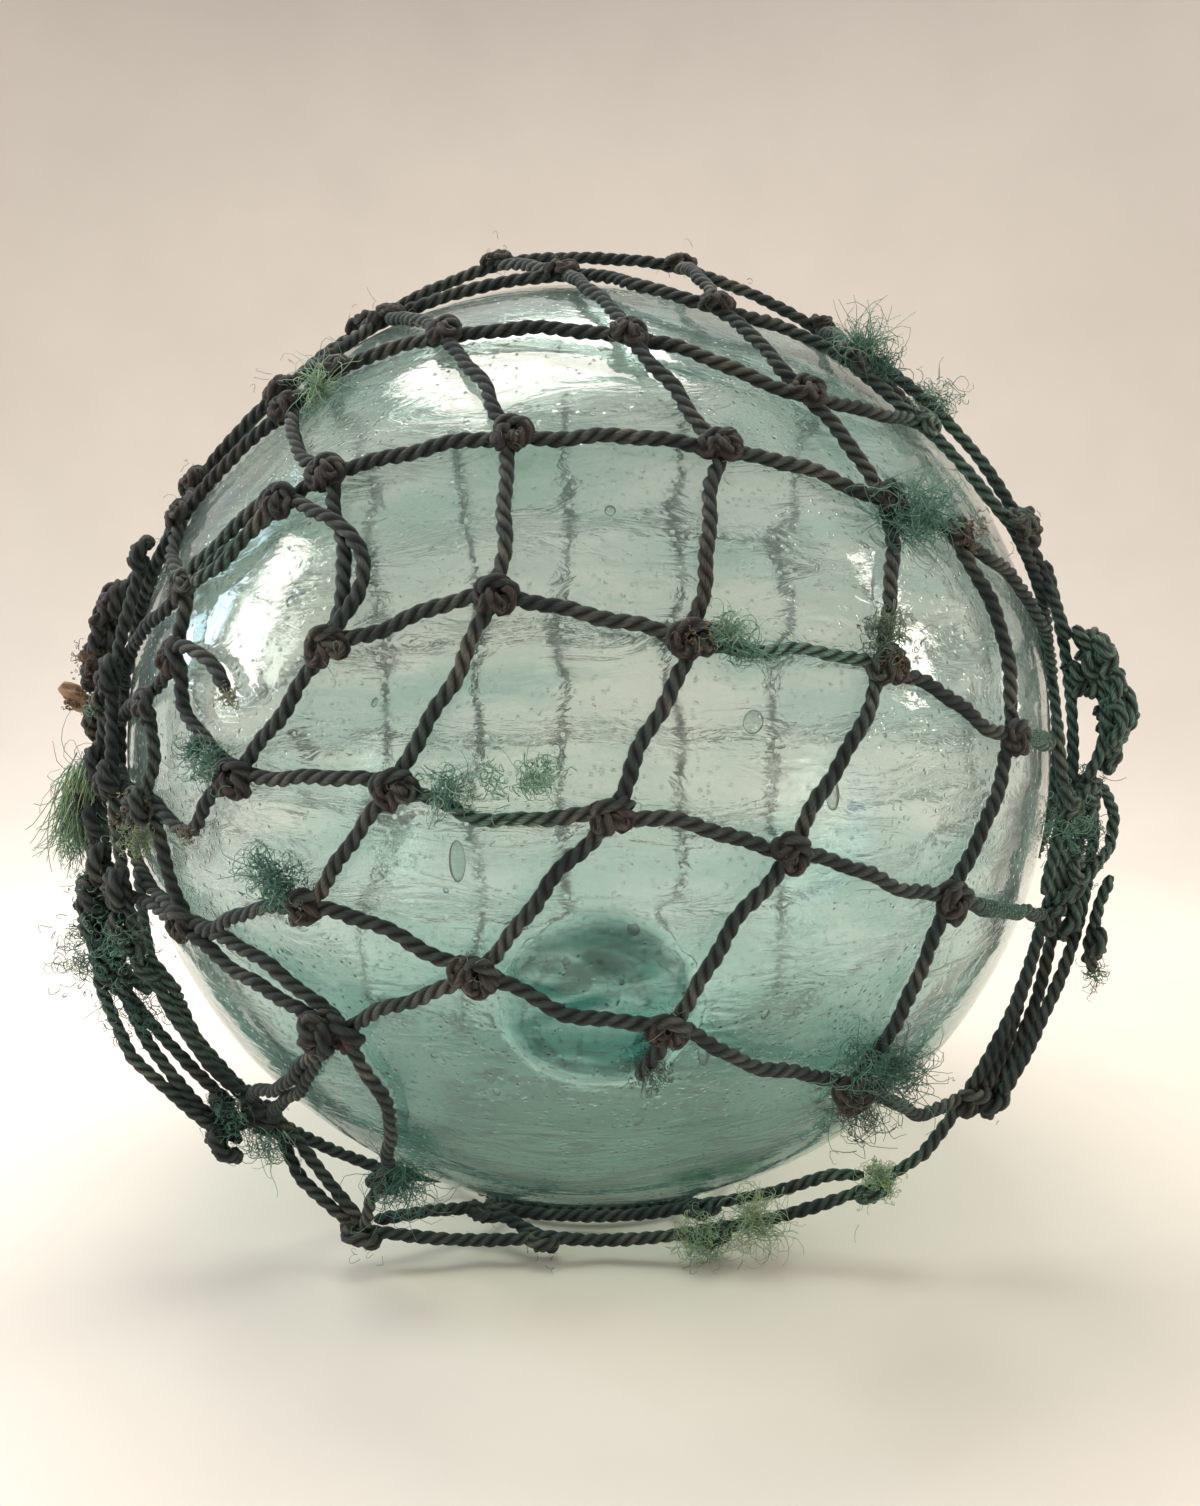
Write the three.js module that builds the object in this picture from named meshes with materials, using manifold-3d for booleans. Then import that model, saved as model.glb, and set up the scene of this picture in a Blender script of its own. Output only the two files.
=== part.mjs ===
// A blown glass fishing float in its knotted rope net, lying loose on a small flat spot.
// Millimetres, +Z up, +X right, and the front is towards -Y. The origin is the middle of the flat spot.
//
// The net's lines run side to side over the ball, like meridians between two gathers, one on the
// left and one on the right, and short legs are knotted between neighbouring lines. So a place on
// the ball is given as [turn, reach, lift]: the turn about the X axis in degrees (0 is the front,
// 90 the top, 180 the back, -90 the underside), the reach from the middle towards +X in degrees,
// and the lift in millimetres above where a rope touches the glass.

import Module from "manifold-3d";
import * as THREE from "three";
import { mergeVertices } from "three/addons/utils/BufferGeometryUtils.js";

// Driving dimensions.
const ballRadius = 152.4;
const restRadius = 20;
const ballSegments = 30;
const ballRows = 14;
const dish = { turn: 66, reach: 14, width: 16, depth: 3 };
const bulge = { turn: -40, reach: 35, width: 45, depth: -1.5 };
const button = { turn: -19, reach: 1, radius: 24, height: 2.6, foot: 3, segments: 16 };
const buttonSteps = [0, 0.3, 0.6, 0.8];

const ropeRadius = 2;
const ropeSides = 4;
const ropeClearance = 0.9;
const sectionAngle = 14;
const knotRadius = 5.2;
const knotLength = 5.6;
const knotFlatness = 0.8;
const knotShares = [-1, -0.4, 0.4, 1];
const backKnotShares = [-1, 0, 1];
const jointGap = 0.6;
const gatherReach = 74;
const gatherSegments = 14;
const weldDistance = 1e-4;
const flatTolerance = 0.01;

// Heights and finishes worked out from those.
const degrees = Math.PI / 180;
const ballCentre = Math.sqrt(ballRadius ** 2 - restRadius ** 2);
const ropeHeight = ballRadius + ropeClearance + ropeRadius;

const glass = { color: 0x9fc9b8, roughness: 0.08, metalness: 0 };
const tarredRope = { color: 0x2b3532, roughness: 0.85, metalness: 0 };
const greenFibre = { color: 0x5f9a80, roughness: 0.9, metalness: 0 };
const tanFibre = { color: 0x8a6a48, roughness: 0.95, metalness: 0 };

// The knots of the front by line and place: [turn, reach, lift, size]. Line z lies just behind the
// crown, a to f come down the front in order, g lies on the floor in front of the ball and p just under it.
const knots = {
  z1: [86, -28, 4], z2: [86, -10.5, 8], z3: [86, 10.5, 7], z4: [86, 29, 4],
  a1: [62.5, -51.5], a2: [64, -36.5], a3: [73, -23.5], a4: [74, -3], a5: [61.5, 13.5],
  a6: [59.5, 29, 1, 1.1], a7: [54, 38, 1], a8: [45, 51, 4],
  b1: [49.5, -51], b2: [52.5, -33], b3: [56, -28], b4: [54, -14.5], b5: [50.5, 4], b6: [46, 22],
  c0: [18, -45, 1, 1.1], c1: [29, -45], c2: [35.5, -25.5, 0, 1.1], c3: [35.5, -7], c4: [35, 12, 0, 1.1],
  c5: [34, 30], c6: [34, 39.5],
  d1: [15.5, -24, 0, 1.1], d2: [19, -8], d3: [15, 9, 0, 1.1], d4: [14, 28, 0, 1.1], d5: [7, 47, 0, 1.1],
  e1: [-4, -52], e2: [2, -35, 0, 1.2], e3: [2, -17, 0, 1.1], e4: [0, 2], e5: [-4, 18],
  e6: [-13, 37, 0, 1.2], e7: [-34, 60, 4, 1.3],
  f1: [-21, -46, 0, 1.2], f2: [-11, -27], f3: [-15, -10, 0, 1.2], f4: [-20, 7, 2.5],
  f5: [-35, 27, 1, 1.6], f6: [-25, -24, 0, 1.3], f7: [-54, 43, 12, 1.3],
  g1: [-58, -38, 6, 1.5], g2: [-53, -22, 4, 1.1], g3: [-60.5, -23, 19, 1.2], g4: [-62.5, -5, 7],
  g5: [-62, 13, 8, 1.3], g6: [-59, 30, 15],
  p1: [-67, -12, 1], p2: [-67, 13, 1],
};

// The ropes of each front line through the knots or places named, its main rope first and its legs
// to the next line after it. "left" and "right" are the gathers on those sides.
const lineRopes = {
  z: [["left", "z1", "z2", "z3", "z4", "right"], ["z1", "a3"], ["z2", "a4"], ["z3", "a5"], ["z4", "a6"]],
  a: [["left", "a1", "a2", [66, -29], "a3", "a4", [66, 6], "a5", [63, 22], "a6", "a7", "a8", "right"],
    ["a1", "b1"], ["a3", "b4"], ["a4", "b5"], ["a5", "b6"]],
  b: [["left", "b1", [51.5, -42], "b2", "b3", "b4", "b5", "b6", "a7"],
    ["b1", [38, -50.5], "c1"], ["b2", [43, -30.5], "c2"], ["b4", "c3"], ["b5", [42, 8], "c4"], ["b6", "c5"]],
  c: [["left", "c1", "c2", "c3", "c4", "c5", "c6", [35, 50], "right"],
    ["c1", "c0"], ["left", [14, -54], "c0"], ["c0", [10, -43], "e2"], ["c2", [25, -23], "d1"], ["c3", "d2"],
    ["c4", "d3"], ["c5", "d4"], ["c6", [20, 47], "d5"]],
  d: [["d1", "d2", "d3", "d4", "d5", "right"],
    ["d1", "e2"], ["d2", "e3"], ["d3", "e4"], ["d4", "e5"], ["d5", "e6"]],
  e: [["left", "e1", [-6, -44], "e2", "e3", [-1, -8], "e4", "e5", "e6", "e7"],
    ["e1", "f1"], ["e3", "f2"], ["e4", "f3"], ["e5", [-12, 12, 1], "f4"], ["e6", "f5"], ["e7", "f7"]],
  f: [["left", "f1", "f2", "f3", [-18, -3, 2.5], "f4", [-26, 15, 1], "f5", [-48, 36, 8], "f7"],
    ["f1", [-20, -33], "f6"], ["f3", "f6"], ["f6", [-38, -20, 1], "g2"], ["f6", [-42, -32, 2], "g1"]],
  g: [["left", [-48, -52, 8], "g1", [-60, -31, 15], "g3", "g4", "g5", "g6", [-57, 36, 16], "f7"],
    ["g2", "g3"]],
  p: [["p1", [-68.5, 0, 1], "p2", [-63, 22, 4], [-60.5, 27, 6]], ["p1", "g4"]],
};

// Loose ropes that lace the net's two edges beside the gathers, as [turn, reach, lift] places. A
// fourth number ties a knot of that size there, and a name ends the rope at that knot of the net.
const looseRopes = {
  left_lacing_inner: [[45, -56, 4, 1], [34, -61, 3.6], [22, -63, 3.6, 1.2], [10, -63, 3.6],
    [-2, -62, 3.6, 1.2], [-14, -60, 4.5], [-24, -58, 6, 1.3], [-34, -55, 7.5], [-43, -50, 8],
    [-51, -44, 8], "g1"],
  left_lacing_outer: [[50, -59, 3.8], [43, -63, 4.5, 1.2], [35, -67, 4.5, 1.1], [26, -70, 4.5],
    [14, -71, 5, 1.3], [2, -71, 5], [-10, -71, 6, 1.1], [-22, -69, 9], [-33, -63, 13, 1.8],
    [-40, -57, 16, 1.4], [-47, -50, 18], [-54, -43, 18], [-58, -38, 17]],
  right_lacing: [[50, 60, 6], [37, 65, 4.5], [24, 67, 4, 1.2], [12, 67, 4], [0, 66, 4], [-9, 66, 4, 1.2],
    [-19, 63, 5], "e7"],
  right_tail: [[35, 63.5, 8.6], [27, 65, 12.5, 1.3], [20, 66, 13.5, 1.3], [11, 66, 13.5, 1.3], [4, 66, 12],
    [-3, 65, 8.4]],
  right_loop: [[-4, 69, 5], [-13, 70, 10], [-20, 68, 12], [-27, 66, 12.5], [-34, 65, 13.5],
    [-40, 60, 14.5], [-46, 53, 16], [-52, 45, 19.5]],
  right_stub: [[-26, 64.5, 19], [-33, 63.5, 18], [-39, 60.5, 19, 1.1], [-43, 59, 23]],
};
const combedTuft = [
  { stop: [4, -71.5, 9.5], radius: 3 },
  { stop: [-5, -72, 15], radius: 7 },
  { stop: [-15, -71, 18], radius: 9 },
  { stop: [-23, -69, 17.5], radius: 6 },
];
const tanLumps = [{ stop: [31, -69, 11.2], radius: 4.6 }, { stop: [21, -71.5, 14.9], radius: 6.4 }];
const tuftSides = 8;
const tuftFlatness = 0.6;

// The ring of rope under the ball, clear of the flat spot, and the knots that its legs run to.
const baseRingAngle = 19.5;
const baseRingSegments = 16;
const baseLegs = ["g1", "p1", "p2", "o2", "o4", "o6"];

// The hidden side is plainer: its lines are named on from h, with the same knots along each.
const backTurns = { h: 105, i: 125, j: 146, k: 166, l: 185, m: 201, n: 219, o: 241 };
const backReaches = [-52, -36, -20, -4, 15, 33, 50];
const backLetters = Object.keys(backTurns);
backLetters.forEach((letter, row) => {
  const names = backReaches.map((_, column) => `${letter}${column + 1}`);
  names.forEach((name, column) => {
    knots[name] = [backTurns[letter], backReaches[column]];
  });
  lineRopes[letter] = [["left", ...names, "right"]];
  const next = backLetters[row + 1];
  if (next) {
    lineRopes[letter].push(...[2, 3, 4, 5, 6].map((column) => [`${letter}${column}`, `${next}${column}`]));
  }
});

const wasm = await Module();
wasm.setup();

/** The unit vector out of the ball at a turn and a reach. */
function direction(turn, reach) {
  const side = Math.cos(reach * degrees);
  return new THREE.Vector3(
    Math.sin(reach * degrees),
    -side * Math.cos(turn * degrees),
    side * Math.sin(turn * degrees),
  );
}

/** How far the glass is dished or bulged at a unit vector, in millimetres. */
function dent(outward, { turn, reach, width, depth }) {
  const angle = outward.angleTo(direction(turn, reach)) / degrees;
  return depth * Math.exp(-((angle / width) ** 2));
}

/** The point above the glass at a place [turn, reach, lift], for a rope's middle. */
function place([turn, reach, lift = 0]) {
  const outward = direction(turn, reach);
  const point = outward.clone().multiplyScalar(ropeHeight + lift - dent(outward, bulge));
  point.z += ballCentre;
  return point;
}

/** A closed geometry as a manifold solid. */
function solid(geometry) {
  geometry.deleteAttribute("normal");
  geometry.deleteAttribute("uv");
  const merged = mergeVertices(geometry, weldDistance);
  return new wasm.Manifold(new wasm.Mesh({
    numProp: 3,
    vertProperties: new Float32Array(merged.attributes.position.array),
    triVerts: new Uint32Array(merged.index.array),
  }));
}

/** One solid out of several that overlap. */
function fuse(solids) {
  return solids.reduce((whole, next) => whole.add(next));
}

/** A named mesh from a manifold solid. */
function mesh(name, body, finish) {
  const { vertProperties, triVerts } = body.getMesh();
  const geometry = new THREE.BufferGeometry();
  geometry.setAttribute("position", new THREE.BufferAttribute(vertProperties, 3));
  geometry.setIndex(new THREE.BufferAttribute(triVerts, 1));
  geometry.computeVertexNormals();
  const part = new THREE.Mesh(geometry, new THREE.MeshStandardMaterial(finish));
  part.name = name;
  return part;
}

/** The glass: a lopsided blown ball with a flat spot to rest on and the seal button melted on its front. */
function glassBall() {
  const restAngle = Math.asin(restRadius / ballRadius);
  const profile = [new THREE.Vector2(0, 0)];
  for (let row = 0; row < ballRows; row += 1) {
    const angle = restAngle + ((Math.PI - restAngle) * row) / ballRows;
    profile.push(new THREE.Vector2(ballRadius * Math.sin(angle), ballCentre - ballRadius * Math.cos(angle)));
  }
  profile.push(new THREE.Vector2(0, ballCentre + ballRadius));
  const ball = new THREE.LatheGeometry(profile, ballSegments).rotateX(Math.PI / 2);
  const centre = new THREE.Vector3(0, 0, ballCentre);
  const corner = new THREE.Vector3();
  for (let index = 0; index < ball.attributes.position.count; index += 1) {
    corner.fromBufferAttribute(ball.attributes.position, index).sub(centre);
    const outward = corner.clone().normalize();
    const sunk = dent(outward, dish) + dent(outward, bulge);
    if (corner.z > -ballCentre + flatTolerance) {
      corner.addScaledVector(outward, -sunk);
    }
    ball.attributes.position.setXYZ(index, corner.x, corner.y, corner.z + ballCentre);
  }
  return solid(ball).add(sealButton());
}

/** The glob of glass that closed the blowing hole: a low dome, its foot sunk in the ball. */
function sealButton() {
  const seatHeight = Math.sqrt(ballRadius ** 2 - button.radius ** 2);
  const rise = ballRadius + button.height - seatHeight;
  const dome = [new THREE.Vector2(0, -button.foot), new THREE.Vector2(button.radius, -button.foot)];
  for (const step of buttonSteps) {
    const angle = (step * Math.PI) / 2;
    dome.push(new THREE.Vector2(button.radius * Math.cos(angle), rise * Math.sin(angle)));
  }
  dome.push(new THREE.Vector2(0, rise));
  const outward = direction(button.turn, button.reach);
  const lathe = new THREE.LatheGeometry(dome, button.segments);
  lathe.applyQuaternion(new THREE.Quaternion().setFromUnitVectors(new THREE.Vector3(0, 1, 0), outward));
  const seat = outward.clone().multiplyScalar(seatHeight);
  lathe.translate(seat.x, seat.y, seat.z + ballCentre);
  return solid(lathe);
}

/** The gather's place that a line's end is tied to: on its own side, at the line's turn. */
function gatherPlace(side, turn) {
  return [turn, side === "left" ? -gatherReach : gatherReach];
}

/** A rope's stop as a place: a named knot's, a gather's, or the place itself. */
function stopPlace(stops, index) {
  const stop = stops[index];
  if (stop === "left" || stop === "right") {
    const [turn] = stopPlace(stops, index === 0 ? 1 : index - 1);
    return gatherPlace(stop, turn);
  }
  return knots[stop] ?? stop;
}

/** Whether a rope's stop is one of a line's own knots. */
function owns(letter, stop) {
  return stop in knots && stop[0] === letter;
}

/** Points between two points round the ball, near enough together to clear the glass. */
function roundBall(from, to) {
  const centre = new THREE.Vector3(0, 0, ballCentre);
  const start = from.clone().sub(centre);
  const end = to.clone().sub(centre);
  const angle = start.angleTo(end);
  const count = Math.ceil(angle / degrees / sectionAngle);
  const points = [];
  for (let step = 1; step < count; step += 1) {
    const share = step / count;
    const point = start.clone().normalize().multiplyScalar(Math.sin((1 - share) * angle));
    point.addScaledVector(end.clone().normalize(), Math.sin(share * angle));
    point.setLength(THREE.MathUtils.lerp(start.length(), end.length(), share));
    points.push(point.add(centre));
  }
  return points;
}

/** The cross-sections of a knot: the rope swells to its turns and narrows again, raised off the glass. */
function knotSections(at, along, size, shares) {
  const outward = at.clone().sub(new THREE.Vector3(0, 0, ballCentre)).normalize();
  const radius = knotRadius * size;
  const raised = at.clone().addScaledVector(outward, radius * knotFlatness - ropeRadius - ropeClearance / 2);
  const half = knotLength * size;
  return shares.map((share) => ({
    at: (Math.abs(share) === 1 ? at : raised).clone().addScaledVector(along, share * half),
    radius: Math.abs(share) === 1 ? ropeRadius : radius,
    flatness: Math.abs(share) === 1 ? 1 : knotFlatness,
  }));
}

/** A closed solid through cross-sections, each a polygon across the way that the rope runs. */
function loft(sections, sides) {
  const corners = [];
  const centre = new THREE.Vector3(0, 0, ballCentre);
  sections.forEach(({ at, radius, flatness = 1 }, index) => {
    const before = sections[Math.max(index - 1, 0)].at;
    const after = sections[Math.min(index + 1, sections.length - 1)].at;
    const along = after.clone().sub(before).normalize();
    const across = at.clone().sub(centre).cross(along).normalize();
    const up = along.clone().cross(across);
    for (let side = 0; side < sides; side += 1) {
      const angle = (2 * Math.PI * (side + 0.5)) / sides;
      const corner = at.clone().addScaledVector(across, radius * Math.cos(angle));
      corners.push(...corner.addScaledVector(up, radius * flatness * Math.sin(angle)).toArray());
    }
  });
  const faces = [];
  const last = (sections.length - 1) * sides;
  for (let side = 0; side < sides; side += 1) {
    const next = (side + 1) % sides;
    for (let ring = 0; ring < last; ring += sides) {
      faces.push(ring + side, ring + next, ring + sides + next);
      faces.push(ring + side, ring + sides + next, ring + sides + side);
    }
    if (side > 0 && side < sides - 1) {
      faces.push(0, next, side);
      faces.push(last, last + side, last + next);
    }
  }
  const geometry = new THREE.BufferGeometry();
  geometry.setAttribute("position", new THREE.Float32BufferAttribute(corners, 3));
  geometry.setIndex(faces);
  return solid(geometry);
}

/** Cuts a rope's end back so that it stops clear of a knot or ring that belongs to its neighbour. */
function stopShort(sections, size = 1) {
  const { at: end } = sections.pop();
  const clear = knotLength * size + jointGap;
  while (sections.length > 1 && sections.at(-1).at.distanceTo(end) < clear + ropeRadius) {
    sections.pop();
  }
  const back = sections.at(-1).at.clone().sub(end).setLength(clear);
  sections.push({ at: end.add(back), radius: ropeRadius });
}

/** A rope's sections through its places, swelling into a knot wherever a place is marked tied. */
function ropeSections(places, tied, shares = knotShares) {
  const points = places.map(place);
  const sections = [];
  points.forEach((at, index) => {
    if (tied[index]) {
      const before = points[Math.max(index - 1, 0)];
      const after = points[Math.min(index + 1, points.length - 1)];
      const along = after.clone().sub(before).normalize();
      sections.push(...knotSections(at, along, places[index][3] ?? 1, shares));
    } else {
      sections.push({ at, radius: ropeRadius });
    }
    if (index < points.length - 1) {
      const between = roundBall(at, points[index + 1]);
      sections.push(...between.map((point) => ({ at: point, radius: ropeRadius })));
    }
  });
  return sections;
}

/** One rope of a line. It swells at the line's own knots and stops short of what it doesn't own. */
function lineRope(letter, stops, alreadyTied) {
  const places = stops.map((_, index) => stopPlace(stops, index));
  const tied = stops.map((stop) => owns(letter, stop) && !alreadyTied.has(stop));
  stops.forEach((stop) => alreadyTied.add(stop));
  const sections = ropeSections(places, tied, letter in backTurns ? backKnotShares : knotShares);
  const foreign = (stop) => typeof stop === "string" && !owns(letter, stop);
  if (foreign(stops.at(-1))) {
    stopShort(sections, places.at(-1)[3]);
  }
  if (foreign(stops[0])) {
    sections.reverse();
    stopShort(sections, places[0][3]);
  }
  return loft(sections, ropeSides);
}

/** One line of the net: its ropes, its legs on to the next line and its own knots, fused. */
function netLine(letter) {
  const alreadyTied = new Set();
  return fuse(lineRopes[letter].map((stops) => lineRope(letter, stops, alreadyTied)));
}

/** The ring under the ball, with its legs out to the lines in front of and behind it. */
function baseRing() {
  const angle = baseRingAngle * degrees;
  const height = ropeHeight * Math.cos(angle);
  const radius = ropeHeight * Math.sin(angle);
  const ring = new THREE.TorusGeometry(radius, ropeRadius, ropeSides, baseRingSegments);
  ring.translate(0, 0, ballCentre - height);
  const legs = baseLegs.map((name) => {
    const end = place(knots[name]);
    const start = new THREE.Vector3(end.x, end.y, 0).setLength(radius);
    start.z = ballCentre - height;
    const points = [start, ...roundBall(start, end), end];
    const sections = points.map((at) => ({ at, radius: ropeRadius }));
    stopShort(sections, knots[name][3]);
    return loft(sections, ropeSides);
  });
  return fuse([solid(ring), ...legs]);
}

/** A loose rope with the knots tied in it. */
function looseRope(stops) {
  const places = stops.map((_, index) => stopPlace(stops, index));
  const sections = ropeSections(places, stops.map((stop) => Array.isArray(stop) && stop.length > 3));
  if (typeof stops.at(-1) === "string") {
    stopShort(sections, places.at(-1)[3]);
  }
  return loft(sections, ropeSides);
}

/** A rope's end combed out into a flat tuft of fibres. */
function tuft() {
  const sections = combedTuft.map(({ stop, radius }) => {
    return { at: place(stop), radius, flatness: tuftFlatness };
  });
  return loft(sections, tuftSides);
}

/** A lump of matted fibre. */
function fibreLump({ stop, radius }) {
  const lump = new THREE.IcosahedronGeometry(radius, 0);
  lump.scale(1, 1, tuftFlatness);
  const thin = new THREE.Vector3(0, 0, 1);
  lump.applyQuaternion(new THREE.Quaternion().setFromUnitVectors(thin, direction(...stop)));
  const centre = place(stop);
  lump.translate(centre.x, centre.y, centre.z);
  return solid(lump);
}

/** The ring of rope that gathers all the lines' ends on one side. */
function gatherRing(side) {
  const reach = gatherPlace(side, 0)[1] * degrees;
  const ring = new THREE.TorusGeometry(ropeHeight * Math.cos(reach), ropeRadius, ropeSides, gatherSegments);
  ring.rotateY(Math.PI / 2);
  ring.translate(ropeHeight * Math.sin(reach), 0, ballCentre);
  return solid(ring);
}

const float = new THREE.Group();
float.add(mesh("glass_ball", glassBall(), glass));
for (const letter of Object.keys(lineRopes)) {
  float.add(mesh(`net_line_${letter}`, netLine(letter), tarredRope));
}
for (const side of ["left", "right"]) {
  float.add(mesh(`${side}_gather_ring`, gatherRing(side), tarredRope));
}
float.add(mesh("base_ring", baseRing(), tarredRope));
for (const [name, stops] of Object.entries(looseRopes)) {
  float.add(mesh(name, looseRope(stops), tarredRope));
}
float.add(mesh("combed_tuft", tuft(), greenFibre));
tanLumps.forEach((lump, index) => {
  float.add(mesh(`tan_fibre_lump_${index + 1}`, fibreLump(lump), tanFibre));
});

export default float;
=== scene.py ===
import math

import bmesh
import bpy
import numpy as np
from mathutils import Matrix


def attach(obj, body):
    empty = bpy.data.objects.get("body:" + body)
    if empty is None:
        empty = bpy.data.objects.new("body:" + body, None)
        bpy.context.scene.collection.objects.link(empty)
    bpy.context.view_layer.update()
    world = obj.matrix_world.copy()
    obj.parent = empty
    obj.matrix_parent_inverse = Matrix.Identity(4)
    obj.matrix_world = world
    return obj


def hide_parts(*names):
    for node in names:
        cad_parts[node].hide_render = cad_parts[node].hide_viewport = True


# A blown glass fishing float in its knotted rope net, resting on a studio floor.
# Metres, +Z up, +X right, and the front is towards -Y, as in the frame.
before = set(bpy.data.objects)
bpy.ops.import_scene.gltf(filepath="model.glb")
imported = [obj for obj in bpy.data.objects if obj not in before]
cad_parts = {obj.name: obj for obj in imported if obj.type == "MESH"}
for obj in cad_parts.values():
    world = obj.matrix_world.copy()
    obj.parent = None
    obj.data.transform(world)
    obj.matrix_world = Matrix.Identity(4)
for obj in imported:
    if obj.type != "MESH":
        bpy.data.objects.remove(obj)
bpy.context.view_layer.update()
scene = bpy.context.scene

# ---------------------------------------------------------------------------
# Camera. It stands three ball radii from the middle of the ball, slightly
# above it, so that the ball fills most of the width of the picture.

ball_radius = 0.1524
rest_radius = 0.020
ball_centre = np.array([0.0, 0.0, math.sqrt(ball_radius**2 - rest_radius**2)])
camera_tilt = math.radians(6)
camera_distance = 3 * ball_radius

camera = bpy.data.objects.new("camera", bpy.data.cameras.new("camera"))
camera.data.lens = 31.17
camera.data.shift_x = 0.0076
camera.data.shift_y = -0.0064
camera.location = (
    0,
    -camera_distance * math.cos(camera_tilt),
    ball_centre[2] + camera_distance * math.sin(camera_tilt),
)
camera.rotation_euler = (math.pi / 2 - camera_tilt, 0, 0)
scene.collection.objects.link(camera)
scene.camera = camera
scene.view_settings.view_transform = "Standard"
scene.cycles.max_bounces = 10
scene.cycles.diffuse_bounces = 2
scene.cycles.glossy_bounces = 3
scene.cycles.transmission_bounces = 8

# ---------------------------------------------------------------------------
# Studio. A round sweep of matt paper rises from the floor to a low wall all
# the way round, open above, with a soft sky and window-shaped softboxes.

def feed(tree, socket, value):
    """Gives an input a plain value or colour, or links another node's output to it."""
    if isinstance(value, bpy.types.NodeSocket):
        tree.links.new(value, socket)
    elif isinstance(value, tuple) and socket.type == "RGBA":
        socket.default_value = (*value[:3], 1)
    else:
        socket.default_value = value


def add_node(tree, kind, **values):
    """A shader node with its properties and its inputs set by name."""
    made = tree.nodes.new(kind)
    for name, value in values.items():
        socket = name.replace("_", " ").title()
        if socket in made.inputs:
            feed(tree, made.inputs[socket], value)
        else:
            setattr(made, name, value)
    return made


def combined(tree, operation, *values, kind="ShaderNodeMath", output="Value"):
    """What a maths node makes of plain values and other nodes' outputs."""
    made = add_node(tree, kind, operation=operation)
    for socket, value in zip(made.inputs, values):
        feed(tree, socket, value)
    return made.outputs[output]


def drawn_out(tree, vector, factors):
    """A texture's place, scaled along each axis."""
    return combined(tree, "MULTIPLY", vector, factors, kind="ShaderNodeVectorMath", output="Vector")


def mixed(tree, factor, first, second, blend_type="MIX"):
    """A mix of two colours or other nodes' outputs."""
    made = add_node(tree, "ShaderNodeMix", data_type="RGBA", blend_type=blend_type)
    for name, value in (("Factor", factor), ("A", first), ("B", second)):
        feed(tree, made.inputs[name], value)
    return made.outputs["Result"]


def ramp(tree, factor, stops):
    """The colour or value that a ramp gives a factor, from (place, grey or colour) stops."""
    made = tree.nodes.new("ShaderNodeValToRGB")
    for index, (place_on_ramp, colour) in enumerate(stops):
        if index > 1:
            made.color_ramp.elements.new(place_on_ramp)
        element = made.color_ramp.elements[index]
        element.position = place_on_ramp
        if isinstance(colour, float):
            colour = (colour, colour, colour)
        element.color = (*colour, 1)
    tree.links.new(factor, made.inputs["Fac"])
    return made.outputs["Color"]


def new_material(name):
    """An empty node material and its output node."""
    made = bpy.data.materials.new(name)
    made.use_nodes = True
    made.node_tree.nodes.clear()
    output = made.node_tree.nodes.new("ShaderNodeOutputMaterial")
    return made, made.node_tree, output


floor_reach = 0.62
bend_radius = 0.5
bend_steps = 12
wall_top = 1.1
sweep_outline = [(0.0, 0.0), (floor_reach, 0.0)]
for step in range(1, bend_steps + 1):
    angle = math.pi / 2 * step / bend_steps
    height = bend_radius - bend_radius * math.cos(angle)
    sweep_outline.append((floor_reach + bend_radius * math.sin(angle), height))
sweep_outline.append((floor_reach + bend_radius, wall_top))
sweep_mesh = bmesh.new()
outline_edges = []
for near, far in zip(sweep_outline, sweep_outline[1:]):
    ends = [sweep_mesh.verts.new((reach, 0, height)) for reach, height in (near, far)]
    outline_edges.append(sweep_mesh.edges.new(ends))
bmesh.ops.spin(
    sweep_mesh,
    geom=list(sweep_mesh.verts) + outline_edges,
    cent=(0, 0, 0),
    axis=(0, 0, 1),
    angle=2 * math.pi,
    steps=96,
)
bmesh.ops.remove_doubles(sweep_mesh, verts=sweep_mesh.verts, dist=1e-5)
sweep_data = bpy.data.meshes.new("studio_sweep")
sweep_mesh.to_mesh(sweep_data)
sweep_data.shade_smooth()
sweep = bpy.data.objects.new("studio_sweep", sweep_data)
scene.collection.objects.link(sweep)

paper, tree, output = new_material("studio_paper")
position = add_node(tree, "ShaderNodeTexCoord").outputs["Object"]
paper_middle = (0, 0.1, 0.05)
from_middle = combined(
    tree,
    "DISTANCE",
    drawn_out(tree, position, (0.75, 0.5, 0.5)),
    paper_middle,
    kind="ShaderNodeVectorMath",
)
# Painted shade: the paper is painted lightest on the floor near the ball and darker further out, up the wall
# and into its top corners, as a painted fall-off of the light. Only the mottle is the paper's own.
paper_painted_falloff_stops = [
    (0.30, (0.88, 0.82, 0.76)), (0.50, (0.675, 0.63, 0.58)),
    (0.63, (0.595, 0.555, 0.51)), (0.9, (0.59, 0.55, 0.505)),
]
mottle = add_node(tree, "ShaderNodeTexNoise", scale=9.0, detail=6.0, vector=position).outputs["Fac"]
mottle = ramp(tree, mottle, [(0.3, 0.95), (0.7, 1.0)])
paper_colour_with_painted_falloff = mixed(tree, 1.0, ramp(tree, from_middle, paper_painted_falloff_stops), mottle, "MULTIPLY")
shader = add_node(tree, "ShaderNodeBsdfPrincipled", base_color=paper_colour_with_painted_falloff, roughness=0.9)
tree.links.new(shader.outputs["BSDF"], output.inputs["Surface"])
sweep_data.materials.append(paper)

world = bpy.data.worlds.new("soft_sky")
world.use_nodes = True
world.node_tree.nodes["Background"].inputs["Color"].default_value = (1.0, 0.975, 0.95, 1)
world.node_tree.nodes["Background"].inputs["Strength"].default_value = 0.65
scene.world = world


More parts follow.
